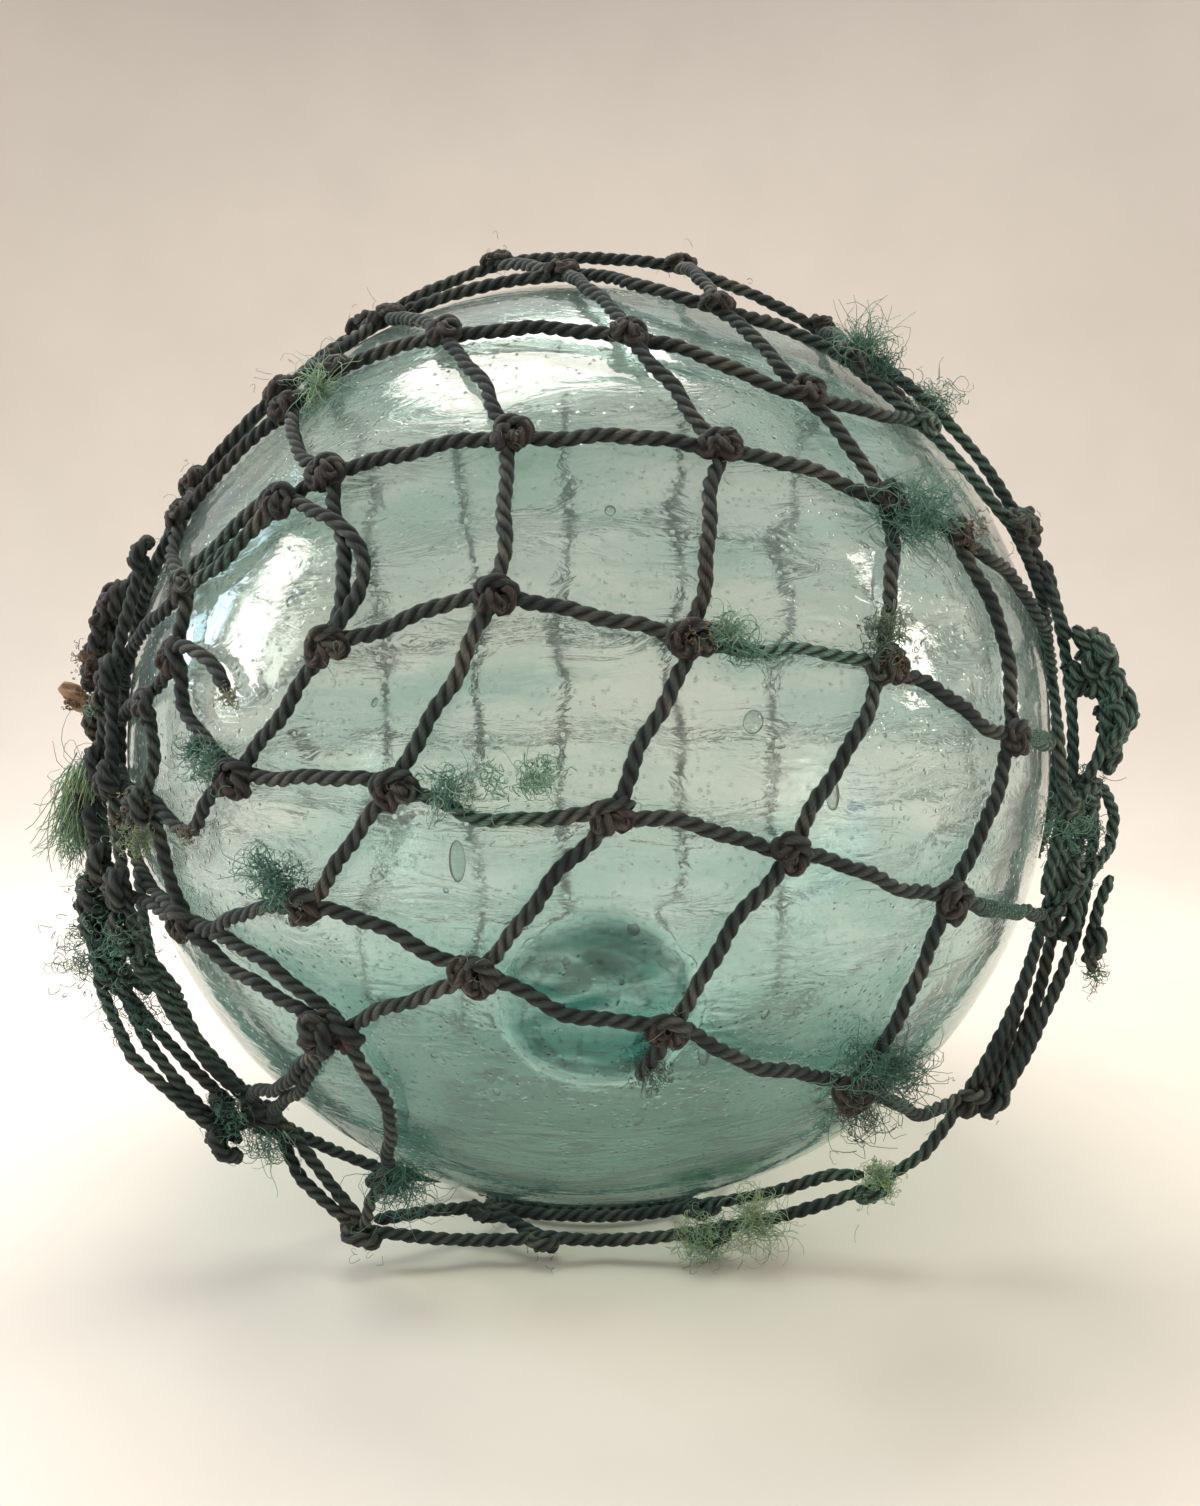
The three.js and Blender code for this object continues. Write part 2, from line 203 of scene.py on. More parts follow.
def direction_to_euler(towards):
    """The turn that points a light along a direction."""
    flat = math.hypot(towards[0], towards[1])
    return (math.atan2(flat, -towards[2]), 0, math.atan2(-towards[0], towards[1]))


def softbox(name, place_at, width, height, power, colour):
    """A rectangular softbox that faces the middle of the ball."""
    light = bpy.data.lights.new(name, "AREA")
    light.shape = "RECTANGLE"
    light.size = width
    light.size_y = height
    light.energy = power
    light.color = colour
    made = bpy.data.objects.new(name, light)
    made.location = place_at
    made.rotation_euler = direction_to_euler(ball_centre - np.array(place_at))
    scene.collection.objects.link(made)


warm = (1.0, 0.93, 0.84)
cool = (0.62, 0.80, 1.0)
softbox("overhead_softbox", (-0.12, 0.25, 1.15), 0.75, 0.5, 9.0, warm)
for row, height in enumerate((0.42, 0.72)):
    softbox(f"left_window_{row}", (-0.98, -0.10, height), 0.20, 0.24, 1.9, warm)
    softbox(f"left_window_far_{row}", (-0.95, 0.18, height), 0.20, 0.24, 1.7, cool)
    softbox(f"right_window_{row}", (0.95, -0.22, height), 0.16, 0.22, 1.6, warm)
softbox("right_low_window", (0.92, 0.42, 0.16), 0.18, 0.26, 0.8, warm)

# ---------------------------------------------------------------------------
# Blown glass ball. A sealed hollow ball of pale sea-green glass about 4 mm
# thick, uneven as it left the blowpipe, and pitted by years at sea. The glob
# of glass that sealed it is melted on low at the front.

wall = 0.0042
dish = {"turn": 66, "reach": 14, "width": 16, "depth": 0.003}
bulge = {"turn": -40, "reach": 35, "width": 45, "depth": -0.0015}
button = {"turn": -19, "reach": 1, "radius": 0.024, "height": 0.0028}
lens_radius = 0.026
lens_depth = 0.0060


def unit(vectors):
    """Vectors at length 1."""
    return vectors / np.linalg.norm(vectors, axis=-1, keepdims=True)


def outward(turn, reach):
    """The unit vector out of the ball at a turn about X and a reach towards +X, in degrees."""
    turn, reach = math.radians(turn), math.radians(reach)
    side = math.cos(reach)
    return np.array([math.sin(reach), -side * math.cos(turn), side * math.sin(turn)])


def dent(ways, turn, reach, width, depth):
    """How far the glass is dished or bulged at unit vectors out of the ball."""
    angles = np.degrees(np.arccos(np.clip(ways @ outward(turn, reach), -1, 1)))
    return depth * np.exp(-((angles / width) ** 2))


def ripples(ways, seed, count, shortest, longest):
    """Smooth unevenness over unit vectors, in waves of the lengths given, mostly within 1."""
    random = np.random.default_rng(seed)
    total = np.zeros(len(ways))
    for _ in range(count):
        wave = random.normal(size=3)
        length = random.uniform(shortest, longest)
        wave *= 2 * math.pi * ball_radius / (np.linalg.norm(wave) * length)
        total += np.sin(ways @ wave + random.uniform(0, 2 * math.pi))
    return total / math.sqrt(count)


def button_share(ways, radius, seed):
    """How far unit vectors are from the seal button's middle, in its own uneven radii."""
    middle = outward(button["turn"], button["reach"])
    away = ball_radius * np.arccos(np.clip(ways @ middle, -1, 1))
    return away / (radius * (1 + 0.07 * ripples(ways, seed, 3, 0.04, 0.07)))


def outer_height(ways):
    """The distance of the outer skin from the middle of the ball."""
    height = ball_radius - dent(ways, **dish) - dent(ways, **bulge)
    height += 0.00022 * ripples(ways, 3, 14, 0.03, 0.09)
    share = button_share(ways, button["radius"], 11)
    dome = button["height"] * np.sqrt(np.clip(1 - share**6, 0, 1))
    dimple = 0.0012 * np.exp(-((share / 0.28) ** 2))
    ring_groove = 0.0007 * np.exp(-(((share - 0.62) / 0.12) ** 2))
    return height + np.where(share < 1, dome - dimple - ring_groove, 0)


def inner_height(ways):
    """The distance of the inner skin: a thinner crown, a heavier foot, and the sealing glob's lens."""
    height = outer_height(ways) - wall + 0.00028 * ripples(ways, 7, 18, 0.018, 0.07)
    height -= 0.0012 * np.clip(-ways[:, 2], 0, 1)
    low_down = np.clip(0.1 - ways[:, 2], 0, 0.6)
    height += 0.00045 * low_down * ripples(ways, 41, 16, 0.009, 0.022)
    lens = np.clip(1 - button_share(ways, lens_radius, 23) ** 2, 0, 1)
    return height - lens_depth * lens**1.5 + 0.0011 * lens * ripples(ways, 31, 6, 0.011, 0.024)


def ball_of_triangles(subdivisions):
    """The corners and triangles of a unit icosphere."""
    made = bmesh.new()
    bmesh.ops.create_icosphere(made, subdivisions=subdivisions, radius=1)
    corners = np.array([corner.co for corner in made.verts])
    triangles = np.array([[corner.index for corner in face.verts] for face in made.faces])
    made.free()
    return unit(corners), triangles


def stand_flat(corners, floor):
    """Presses corners that are lower than a floor up to it."""
    corners[:, 2] = np.maximum(corners[:, 2], floor)
    return corners


glass_corners, glass_faces, seal_marks = [], [], []
seal_full, seal_gone = 0.85, 1.1


def add_skin(corners, triangles, inwards=False):
    """Adds a closed skin to the glass, and marks how far each corner is under the seal button."""
    start = sum(len(some) for some in glass_corners)
    glass_corners.append(corners)
    share = button_share(unit(corners - ball_centre), button["radius"], 11)
    seal_marks.append(np.clip((seal_gone - share) / (seal_gone - seal_full), 0, 1))
    glass_faces.append((triangles[:, ::-1] if inwards else triangles) + start)


ways, triangles = ball_of_triangles(subdivisions=7)
add_skin(stand_flat(ways * outer_height(ways)[:, None] + ball_centre, 0.0), triangles)
ways, triangles = ball_of_triangles(subdivisions=6)
add_skin(stand_flat(ways * inner_height(ways)[:, None] + ball_centre, wall), triangles, inwards=True)

# Air bubbles in the wall, flattened and drawn out by the blowing: turn, reach, and length and width in
# millimetres. The large ones come first, then small ones all over, then the froth by the seal.
bubbles = [
    (28, 2, 3.0, 2.8), (-5, -12, 10.5, 4.2), (8, 15, 6.0, 5.2), (1, 23, 8.5, 4.0), (-11, 4, 3.4, 3.0),
    (-14, -2, 2.4, 2.0), (-14, 1, 2.0, 1.8), (-16, 3, 1.6, 1.4), (-26, 11, 7.2, 3.0), (-31, -9, 3.0, 2.2),
    (40, -12, 4.0, 1.6), (22, -30, 3.2, 2.6), (10, -20, 2.6, 1.6), (24, 22, 2.8, 1.2), (-22, 17, 3.6, 2.0),
    (-35, 5, 4.4, 1.8),
]
random = np.random.default_rng(5)
strewn_bubbles, seal_bubbles = 70, 110
for _ in range(strewn_bubbles):
    length = random.uniform(0.6, 1.9)
    turn, reach = random.uniform(-70, 250), random.uniform(-60, 60)
    bubbles.append((turn, reach, length, length * random.uniform(0.5, 1)))
for _ in range(seal_bubbles):
    length = random.uniform(0.5, 1.1)
    turn, reach = random.normal(-24, 4.5), random.normal(-1, 5)
    bubbles.append((turn, reach, length, length * random.uniform(0.6, 1)))
for turn, reach, length, width in bubbles:
    out = outward(turn, reach)
    up = unit(np.cross(out, [1, 0, 0]))
    across = np.cross(up, out)
    lean = random.uniform(-0.5, 0.5)
    long_way = up * math.cos(lean) + across * math.sin(lean)
    short_way = np.cross(out, long_way)
    ways, triangles = ball_of_triangles(3 if length > 2 else 2)
    depth = min(0.45 * width, 1.4)
    middle = ball_centre + out * (outer_height(out[None])[0] - 0.5 * wall)
    axes = np.array([long_way * length, short_way * width, out * depth]) / 2000
    add_skin(middle + ways @ axes, triangles, inwards=np.linalg.det(axes) > 0)


def mesh_piece(name, corners, faces, material):
    """A smooth-shaded mesh piece that rides on the object's one body."""
    data = bpy.data.meshes.new(name)
    data.from_pydata(corners, [], faces)
    data.materials.append(material)
    data.shade_smooth()
    made = bpy.data.objects.new(name, data)
    scene.collection.objects.link(made)
    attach(made, "root")
    return made


glass, tree, output = new_material("sea_green_glass")
position = add_node(tree, "ShaderNodeTexCoord").outputs["Object"]
swept = drawn_out(tree, position, (0.8, 0.8, 2.6))
clouds = add_node(tree, "ShaderNodeTexNoise", scale=22.0, detail=5.0, vector=swept).outputs["Fac"]
swirl = add_node(tree, "ShaderNodeTexNoise", scale=36.0, detail=5.0, distortion=1.8, vector=swept)
swirl = swirl.outputs["Fac"]
grain = add_node(tree, "ShaderNodeTexNoise", scale=420.0, detail=4.0, vector=position).outputs["Fac"]
pits, specks, seeds = (
    add_node(tree, "ShaderNodeTexVoronoi", scale=scale, vector=position).outputs["Distance"]
    for scale in (330.0, 250.0, 300.0)
)
upward = add_node(tree, "ShaderNodeSeparateXYZ", vector=position).outputs["Z"]
height = add_node(tree, "ShaderNodeMapRange", from_max=2 * ball_radius, value=upward).outputs["Result"]

# The glass is deeper in colour low down, partly for the heavier glass of its foot and partly as painted shade
# of the floor's shadow seen through it.
# It is cloudy, darker under the seal, specked with dirt, and low down it is full of fine seeds.
height_tint_and_painted_shade = ramp(
    tree,
    height,
    [
        (0.0, (0.16, 0.40, 0.35)), (0.14, (0.46, 0.645, 0.615)), (0.38, (0.80, 0.855, 0.84)),
        (0.6, (0.81, 0.865, 0.855)), (1.0, (0.71, 0.82, 0.795)),
    ],
)
cloudy = ramp(tree, clouds, [(0.38, (0.76, 0.87, 0.855)), (0.56, (1.0, 1.0, 1.0))])
seal_mark = add_node(tree, "ShaderNodeAttribute", attribute_name="seal").outputs["Fac"]
seal_depth = combined(tree, "MULTIPLY", seal_mark, ramp(tree, swirl, [(0.38, 0.45), (0.58, 1.0)]))
seal_tint = ramp(tree, seal_depth, [(0.0, (1.0, 1.0, 1.0)), (1.0, (0.15, 0.34, 0.32))])
specked = ramp(tree, specks, [(0.035, 0.45), (0.075, 1.0)])
tint = height_tint_and_painted_shade
for layer in (cloudy, seal_tint, specked):
    tint = mixed(tree, 1.0, tint, layer, "MULTIPLY")
low_share = ramp(tree, height, [(0.10, 1.0), (0.42, 0.0)])
seeded = combined(tree, "MULTIPLY", ramp(tree, seeds, [(0.10, 1.0), (0.17, 0.0)]), low_share)
tint = mixed(tree, seeded, tint, (0.92, 0.96, 0.93))

# Its skin is swirled, most of all low down and at the crown, pitted all over, and proud at the seeds.
swirled = ramp(tree, height, [(0.0, 1.0), (0.5, 0.45), (0.75, 0.45), (1.0, 0.9)])
unevenness = combined(tree, "MULTIPLY", swirl, swirled)
pitted = ramp(tree, pits, [(0.0, 0.0), (0.22, 1.0)])
for layer, share in ((pitted, 0.28), (seeded, 0.60)):
    unevenness = combined(tree, "MULTIPLY_ADD", layer, share, unevenness)
glass_bump = add_node(tree, "ShaderNodeBump", strength=0.6, distance=0.0010, height=unevenness)
dullness = ramp(tree, grain, [(0.40, 0.025), (0.74, 0.11)])
shader = add_node(tree, "ShaderNodeBsdfPrincipled", base_color=tint, roughness=dullness)
shader.inputs["IOR"].default_value = 1.48
shader.inputs["Transmission Weight"].default_value = 0.93
tree.links.new(glass_bump.outputs["Normal"], shader.inputs["Normal"])
see_through = add_node(tree, "ShaderNodeBsdfTransparent", color=(0.81, 0.835, 0.81, 1))
light_path = add_node(tree, "ShaderNodeLightPath")
unseen_ray = combined(
    tree, "MAXIMUM", light_path.outputs["Is Shadow Ray"], light_path.outputs["Is Diffuse Ray"]
)
either = add_node(tree, "ShaderNodeMixShader", fac=unseen_ray)
tree.links.new(shader.outputs["BSDF"], either.inputs[1])
tree.links.new(see_through.outputs["BSDF"], either.inputs[2])
tree.links.new(either.outputs["Shader"], output.inputs["Surface"])
body_tint = add_node(tree, "ShaderNodeVolumeAbsorption", color=(0.35, 0.85, 0.78, 1), density=13.0)
tree.links.new(body_tint.outputs["Volume"], output.inputs["Volume"])

blown_glass = mesh_piece("blown_glass", np.concatenate(glass_corners), np.concatenate(glass_faces), glass)
seal = blown_glass.data.attributes.new("seal", "FLOAT", "POINT")
seal.data.foreach_set("value", np.concatenate(seal_marks))
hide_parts("glass_ball")

# ---------------------------------------------------------------------------
# The net's lines. Tarred three-strand rope 4 mm thick runs from side to side
# over the ball, and legs of the same rope are knotted between the lines.

rope_radius = 0.00205
rope_gap = 0.0003
rope_height = ball_radius + rope_radius + rope_gap
strand_pitch = 0.0125
gather_reach = 74
fine_rope = {"spacing": 0.0013, "corners_each": 5}
plain_rope = {"spacing": 0.0018, "corners_each": 4}

# The knots by line and place: turn, reach, lift in millimetres, size.
knots = {
    "z1": (86, -28, 4), "z2": (86, -10.5, 8), "z3": (86, 10.5, 7), "z4": (86, 29, 4),
    "a1": (62.5, -51.5), "a2": (64, -36.5), "a3": (73, -23.5), "a4": (74, -3), "a5": (61.5, 13.5),
    "a6": (59.5, 29, 1, 1.1), "a7": (54, 38, 1), "a8": (45, 51, 4),
    "b1": (49.5, -51), "b2": (52.5, -33), "b3": (56, -28), "b4": (54, -14.5), "b5": (50.5, 4), "b6": (46, 22),
    "c0": (18, -45, 1, 1.1), "c1": (29, -45), "c2": (35.5, -25.5, 0, 1.1), "c3": (35.5, -7),
    "c4": (35, 12, 0, 1.1), "c5": (34, 30), "c6": (34, 39.5),
    "d1": (15.5, -24, 0, 1.1), "d2": (19, -8), "d3": (15, 9, 0, 1.1), "d4": (14, 28, 0, 1.1),
    "d5": (7, 47, 0, 1.1),
    "e1": (-4, -52), "e2": (2, -35, 0, 1.2), "e3": (2, -17, 0, 1.1), "e4": (0, 2), "e5": (-4, 18),
    "e6": (-13, 37, 0, 1.2), "e7": (-34, 60, 4, 1.3),
    "f1": (-21, -46, 0, 1.2), "f2": (-11, -27), "f3": (-15, -10, 0, 1.2), "f4": (-20, 7, 2.5),
    "f5": (-35, 27, 1, 1.6), "f6": (-25, -24, 0, 1.3), "f7": (-54, 43, 12, 1.3),
    "g1": (-58, -38, 6, 1.5), "g2": (-53, -22, 4, 1.1), "g3": (-60.5, -23, 19, 1.2), "g4": (-62.5, -5, 7),
    "g5": (-62, 13, 8, 1.3), "g6": (-59, 30, 15),
    "p1": (-67, -12, 1), "p2": (-67, 13, 1),
}

# Each line's ropes through its knots, its main rope first and its legs to the next line after it.
front_lines = {
    "z": [["left", "z1", "z2", "z3", "z4", "right"], ["z1", "a3"], ["z2", "a4"], ["z3", "a5"], ["z4", "a6"]],
    "a": [
        ["left", "a1", "a2", (66, -29), "a3", "a4", (66, 6), "a5", (63, 22), "a6", "a7", "a8", "right"],
        ["a1", "b1"], ["a3", "b4"], ["a4", "b5"], ["a5", "b6"],
    ],
    "b": [
        ["left", "b1", (51.5, -42), "b2", "b3", "b4", "b5", "b6", "a7"],
        ["b1", (38, -50.5), "c1"], ["b2", (43, -30.5), "c2"], ["b4", "c3"], ["b5", (42, 8), "c4"],
        ["b6", "c5"],
    ],
    "c": [
        ["left", "c1", "c2", "c3", "c4", "c5", "c6", (35, 50), "right"],
        ["c1", "c0"], ["left", (14, -54), "c0"], ["c0", (10, -43), "e2"], ["c2", (25, -23), "d1"],
        ["c3", "d2"], ["c4", "d3"], ["c5", "d4"], ["c6", (20, 47), "d5"],
    ],
    "d": [
        ["d1", "d2", "d3", "d4", "d5", "right"],
        ["d1", "e2"], ["d2", "e3"], ["d3", "e4"], ["d4", "e5"], ["d5", "e6"],
    ],
    "e": [
        ["left", "e1", (-6, -44), "e2", "e3", (-1, -8), "e4", "e5", "e6", "e7"],
        ["e1", "f1"], ["e3", "f2"], ["e4", "f3"], ["e5", (-12, 12, 1), "f4"], ["e6", "f5"], ["e7", "f7"],
    ],
    "f": [
        ["left", "f1", "f2", "f3", (-18, -3, 2.5), "f4", (-26, 15, 1), "f5", (-48, 36, 8), "f7"],
        ["f1", (-20, -33), "f6"], ["f3", "f6"], ["f6", (-38, -20, 1), "g2"], ["f6", (-42, -32, 2), "g1"],
    ],
    "g": [
        ["left", (-48, -52, 8), "g1", (-60, -31, 15), "g3", "g4", "g5", "g6", (-57, 36, 16), "f7"],
        ["g2", "g3"],
    ],
    "p": [["p1", (-68.5, 0, 1), "p2", (-63, 22, 4), (-60.5, 27, 6), (-59, 30, 11)], ["p1", "g4"]],
}


def place(turn, reach, lift=0, size=1):
    """The middle of a rope on the glass or a lift in millimetres above it. A knot's size isn't used."""
    out = outward(turn, reach)
    return ball_centre + out * (rope_height - dent(out[None], **bulge)[0] + lift / 1000)


def stop_places(stops):
    """The places that a rope's stops name: its knots, a gather on its own turn, or places as they are."""
    named = [knots.get(stop, stop) if isinstance(stop, str) else stop for stop in stops]
    places = []
    for index, stop in enumerate(named):
        if stop in ("left", "right"):
            turn = named[1 if index == 0 else index - 1][0]
            stop = (turn, -gather_reach if stop == "left" else gather_reach)
        places.append(stop)
    return places


def length_along(path):
    """How far along a path each of its points is."""
    return np.concatenate([[0], np.cumsum(np.linalg.norm(np.diff(path, axis=0), axis=1))])


def smooth_path(points, spacing, on_ball=True):
    """Evenly spaced points on a smooth curve through points, kept at their heights over the ball."""
    steps_between = 16
    points = np.array(points)
    padded = np.vstack([2 * points[0] - points[1], points, 2 * points[-1] - points[-2]])
    path = []
    for before, start, end, after in zip(padded, padded[1:], padded[2:], padded[3:]):
        shares = np.linspace(0, 1, steps_between, endpoint=False)[:, None]
        run = 0.5 * (
            2 * start
            + (end - before) * shares
            + (2 * before - 5 * start + 4 * end - after) * shares**2
            + (3 * start - before - 3 * end + after) * shares**3
        )
        if on_ball:
            heights = np.linalg.norm(start - ball_centre) * (1 - shares)
            heights = heights + np.linalg.norm(end - ball_centre) * shares
            run = unit(run - ball_centre) * heights + ball_centre
        path.append(run)
    path = np.vstack([*path, points[-1:]])
    travelled = length_along(path)
    count = max(int(travelled[-1] / spacing), 4)
    wanted = np.linspace(0, travelled[-1], count + 1)
    return np.stack([np.interp(wanted, travelled, path[:, axis]) for axis in range(3)], axis=1)


class RopeWork:
    """The corners, faces and marks of all the rope and fibre in one piece, as it is put together."""

    def __init__(self):
        self.corners, self.quads, self.caps, self.lay = [], [], [], []
        self.marks = {"crown": [], "brown": [], "pale": []}
        self.count = 0

    def sweep(self, path, outs, radii, twist, outline, crown, brown, pale):
        """Sweeps an outline, given as (angles, radii), along a path, with its marks at each corner."""
        angles, shape = outline
        along = unit(np.gradient(path, axis=0))
        outs = unit(outs - along * np.sum(outs * along, axis=1)[:, None])
        across = np.cross(along, outs)
        turned = twist[:, None] + angles[None]
        rings = path[:, None] + radii[:, None, None] * shape[None, :, None] * (
            np.cos(turned)[..., None] * outs[:, None] + np.sin(turned)[..., None] * across[:, None]
        )
        rows, sides = len(path), len(angles)
        row = np.arange(rows - 1)[:, None] * sides
        side = np.arange(sides)[None]
        following = (side + 1) % sides
        quads = np.stack([row + side, row + following, row + sides + following, row + sides + side], axis=-1)
        length = length_along(path)
        closed = np.concatenate([turned, turned[:, :1] + 2 * math.pi], axis=1) * radii.max()
        lay = np.stack([np.broadcast_to(length[:, None], closed.shape), closed], axis=-1)
        lay = np.stack([lay[:-1, :-1], lay[:-1, 1:], lay[1:, 1:], lay[1:, :-1]], axis=2)
        self.corners.append(rings.reshape(-1, 3))
        self.quads.append(quads.reshape(-1, 4) + self.count)
        self.lay.append(lay.reshape(-1, 2))
        self.caps.append([self.count + index for index in reversed(range(sides))])
        self.caps.append([self.count + (rows - 1) * sides + index for index in range(sides)])
        for name, values in (("crown", crown[None]), ("brown", brown[:, None]), ("pale", pale[:, None])):
            self.marks[name].append(np.broadcast_to(values, (rows, sides)).ravel())
        self.count += rows * sides

    def piece(self, name, material):
        """The finished piece."""
        quads = np.concatenate(self.quads)
        made = mesh_piece(name, np.concatenate(self.corners), quads.tolist() + self.caps, material)
        lay = np.zeros((len(made.data.loops), 2))
        lay[: len(quads) * 4] = np.concatenate(self.lay)
        made.data.uv_layers.new(name="lay").data.foreach_set("uv", lay.ravel())
        for mark, values in self.marks.items():
            made.data.attributes.new(mark, "FLOAT", "POINT").data.foreach_set("value", np.concatenate(values))
        return made


def strand_outline(corners_each):
    """The outline of three strands laid together, and how proud each of its corners is."""
    lobe = np.radians(-60 + 120 * np.arange(corners_each) / corners_each)
    angles = np.concatenate([lobe + math.radians(120) * strand for strand in range(3)])
    shape = np.tile(0.2 + 0.8 * np.cos(lobe), 3)
    return (angles, shape), (shape - 0.6) / 0.4


# Where the ropes are bleached or stained: turn, reach, how far in degrees, bleaching, brown stain.
worn_spots = [
    (15.5, 19, 7.5, 0.85, 0.0), (2.5, -9, 6, 0.75, 0.0), (31, -40, 5, 0.35, 0.0), (5, 54, 5, 0.6, 0.0),
    (-21, 47, 6, 0.5, 0.0), (52, 42, 9, 0.55, 0.0), (66, 30, 8, 0.35, 0.0), (2, -49, 5, 0.2, 0.3),
    (19, 9.5, 4, 0.0, 0.8), (-20, 66, 10, 0.45, 0.0), (20, 66, 10, 0.5, 0.0), (-45, -55, 9, 0.35, 0.0),
    (50, -46, 7, 0.0, 0.6), (-62, 14, 6, 0.35, 0.0), (-58, 31, 5, 0.5, 0.0), (16, 15, 3, 0.6, 0.3),
]


def wear(path):
    """How bleached and how brown a rope is at points along it."""
    ways = unit(path - ball_centre)
    bleached, stained = np.zeros(len(path)), np.zeros(len(path))
    for turn, reach, width, bleach, stain in worn_spots:
        angles = np.degrees(np.arccos(np.clip(ways @ outward(turn, reach), -1, 1)))
        near = np.exp(-((angles / width) ** 4))
        bleached = np.maximum(bleached, bleach * near)
        stained = np.maximum(stained, stain * near)
    return bleached, stained


def lay_rope(work, path, outs, radius=rope_radius, corners_each=5, brown=0.0, pale=0.0, phase=0.0, pitch=1.0):
    """Lays three-strand rope along a path. Its strands turn left, and its ends are drawn in."""
    outline, crown = strand_outline(corners_each)
    length = length_along(path)
    uneven = 1 + 0.035 * np.sin(length * 310 + phase) + 0.03 * np.sin(length * 770 + 2 * phase)
    ends = np.minimum(length, length[-1] - length) / radius
    bleached, stained = wear(path)
    bleached, stained = np.maximum(bleached, pale), np.maximum(stained, brown)
    radii = radius * uneven * (1 - 0.2 * bleached) * np.sqrt(np.clip(0.25 + 0.75 * ends, 0, 1))
    twist = phase - 2 * math.pi * length / (pitch * strand_pitch * radius / rope_radius)
    work.sweep(path, outs, radii, twist, outline, crown, stained, bleached)


def rope_on_ball(work, points, spacing, corners_each):
    """Lays a rope over the ball through points, with the slight sway of a slack line."""
    phase = random.uniform(0, 6)
    path = smooth_path(points, spacing)
    outs = unit(path - ball_centre)
    length = length_along(path)
    aside = unit(np.cross(np.gradient(path, axis=0), outs))
    sway = 0.0007 * np.sin(length * 150 + phase) + 0.0004 * np.sin(length * 333 + 3 * phase)
    lay_rope(work, path + aside * sway[:, None], outs, corners_each=corners_each, phase=phase)


# A knot's turns, as millimetre points along the line, up the ball and out of it: a turn of rope over
# the top, the two bights of it that are drawn up tight below, and the part that they grip between
# them. The first number of each is how brown it is.
knot_turns = [
    (
        0.2, (-3.6, -0.6, -0.8), (-3.9, 1.2, 0.9), (-2.3, 2.5, 2.2), (0.2, 2.8, 2.8), (2.6, 2.1, 2.2),
        (3.7, 0.4, 0.4),
    ),
    (
        1.0, (-1.2, 1.8, 2.1), (-3.1, 0.4, 2.4), (-3.5, -1.7, 1.8), (-2.0, -3.3, 1.6), (-0.5, -2.4, 2.8),
        (-0.2, 0.2, 3.0),
    ),
    (
        0.8, (0.6, 1.3, 2.9), (1.3, -1.0, 3.0), (2.3, -3.0, 2.0), (3.8, -2.1, 1.2), (3.7, 0.0, 1.1),
        (2.0, 1.2, 0.6),
    ),
    (1.0, (-2.8, -1.2, 1.0), (-0.9, -1.9, 1.9), (1.4, -1.3, 2.0), (2.9, -0.6, 0.8)),
]


def carried_outs(path, out):
    """Unit vectors out of a path, each turned as little as can be from the one before."""
    outs = []
    for way in unit(np.gradient(path, axis=0)):
        out = unit(out - way * (out @ way))
        outs.append(out)
    return np.array(outs)


def tie_knot(work, points, index, size, corners_each=5, stain=1.0):
    """Ties a knot round a rope at one of its points, slightly different each time."""
    wobble = 0.3
    spacing = 0.0010 if corners_each > 4 else 0.0016
    at = points[index]
    along = points[min(index + 1, len(points) - 1)] - points[max(index - 1, 0)]
    out = unit(at - ball_centre)
    along = unit(along - out * (along @ out))
    lean = random.uniform(-0.5, 0.5)
    side = np.cross(out, along)
    across = along * math.cos(lean) + side * math.sin(lean)
    up = np.cross(out, across)
    if up[2] < -0.2:
        across, up = -across, -up
    hand = random.choice([-1, 1])
    axes = np.array([across * hand, up, out]) / 1000 * size
    for brown, *turn in knot_turns:
        wound = (np.array(turn) + random.normal(size=(len(turn), 3)) * wobble) @ axes + at
        path = smooth_path(wound, spacing, on_ball=False)
        radius = rope_radius * (0.90 + 0.12 * size) * random.uniform(0.92, 1.06)
        shade = brown * stain * random.uniform(0.7, 1.0)
        phase = random.uniform(0, 6)
        lay_rope(work, path, carried_outs(path, out), radius, corners_each, brown=shade, phase=phase)


# Weathered fibre: streaks of yarn that run along the rope, used by the rope and by the frayed ends.
yarn = bpy.data.node_groups.new("yarn_streaks", "ShaderNodeTree")
yarn.interface.new_socket("Fineness", in_out="INPUT", socket_type="NodeSocketFloat")
yarn.interface.new_socket("Streaks", in_out="OUTPUT", socket_type="NodeSocketFloat")
yarn.interface.new_socket("Blotches", in_out="OUTPUT", socket_type="NodeSocketFloat")
group_in = yarn.nodes.new("NodeGroupInput")
group_out = yarn.nodes.new("NodeGroupOutput")
lay_map = add_node(yarn, "ShaderNodeUVMap", uv_map="lay").outputs["UV"]
lengthwise = drawn_out(yarn, lay_map, (0.12, 1.0, 1.0))
fineness = group_in.outputs["Fineness"]
streaks = add_node(yarn, "ShaderNodeTexNoise", detail=3.0, vector=lengthwise, scale=fineness)
object_place = add_node(yarn, "ShaderNodeTexCoord").outputs["Object"]
blotches = add_node(yarn, "ShaderNodeTexNoise", scale=70.0, detail=4.0, vector=object_place)
yarn.links.new(streaks.outputs["Fac"], group_out.inputs["Streaks"])
yarn.links.new(blotches.outputs["Fac"], group_out.inputs["Blotches"])


def yarn_marks(tree, fineness, *marks):
    """The yarn's streaks and blotches, and a piece's marks, for a material."""
    fibre = add_node(tree, "ShaderNodeGroup", node_tree=yarn)
    fibre.inputs["Fineness"].default_value = fineness
    read = [add_node(tree, "ShaderNodeAttribute", attribute_name=mark).outputs["Fac"] for mark in marks]
    return fibre.outputs["Streaks"], fibre.outputs["Blotches"], *read


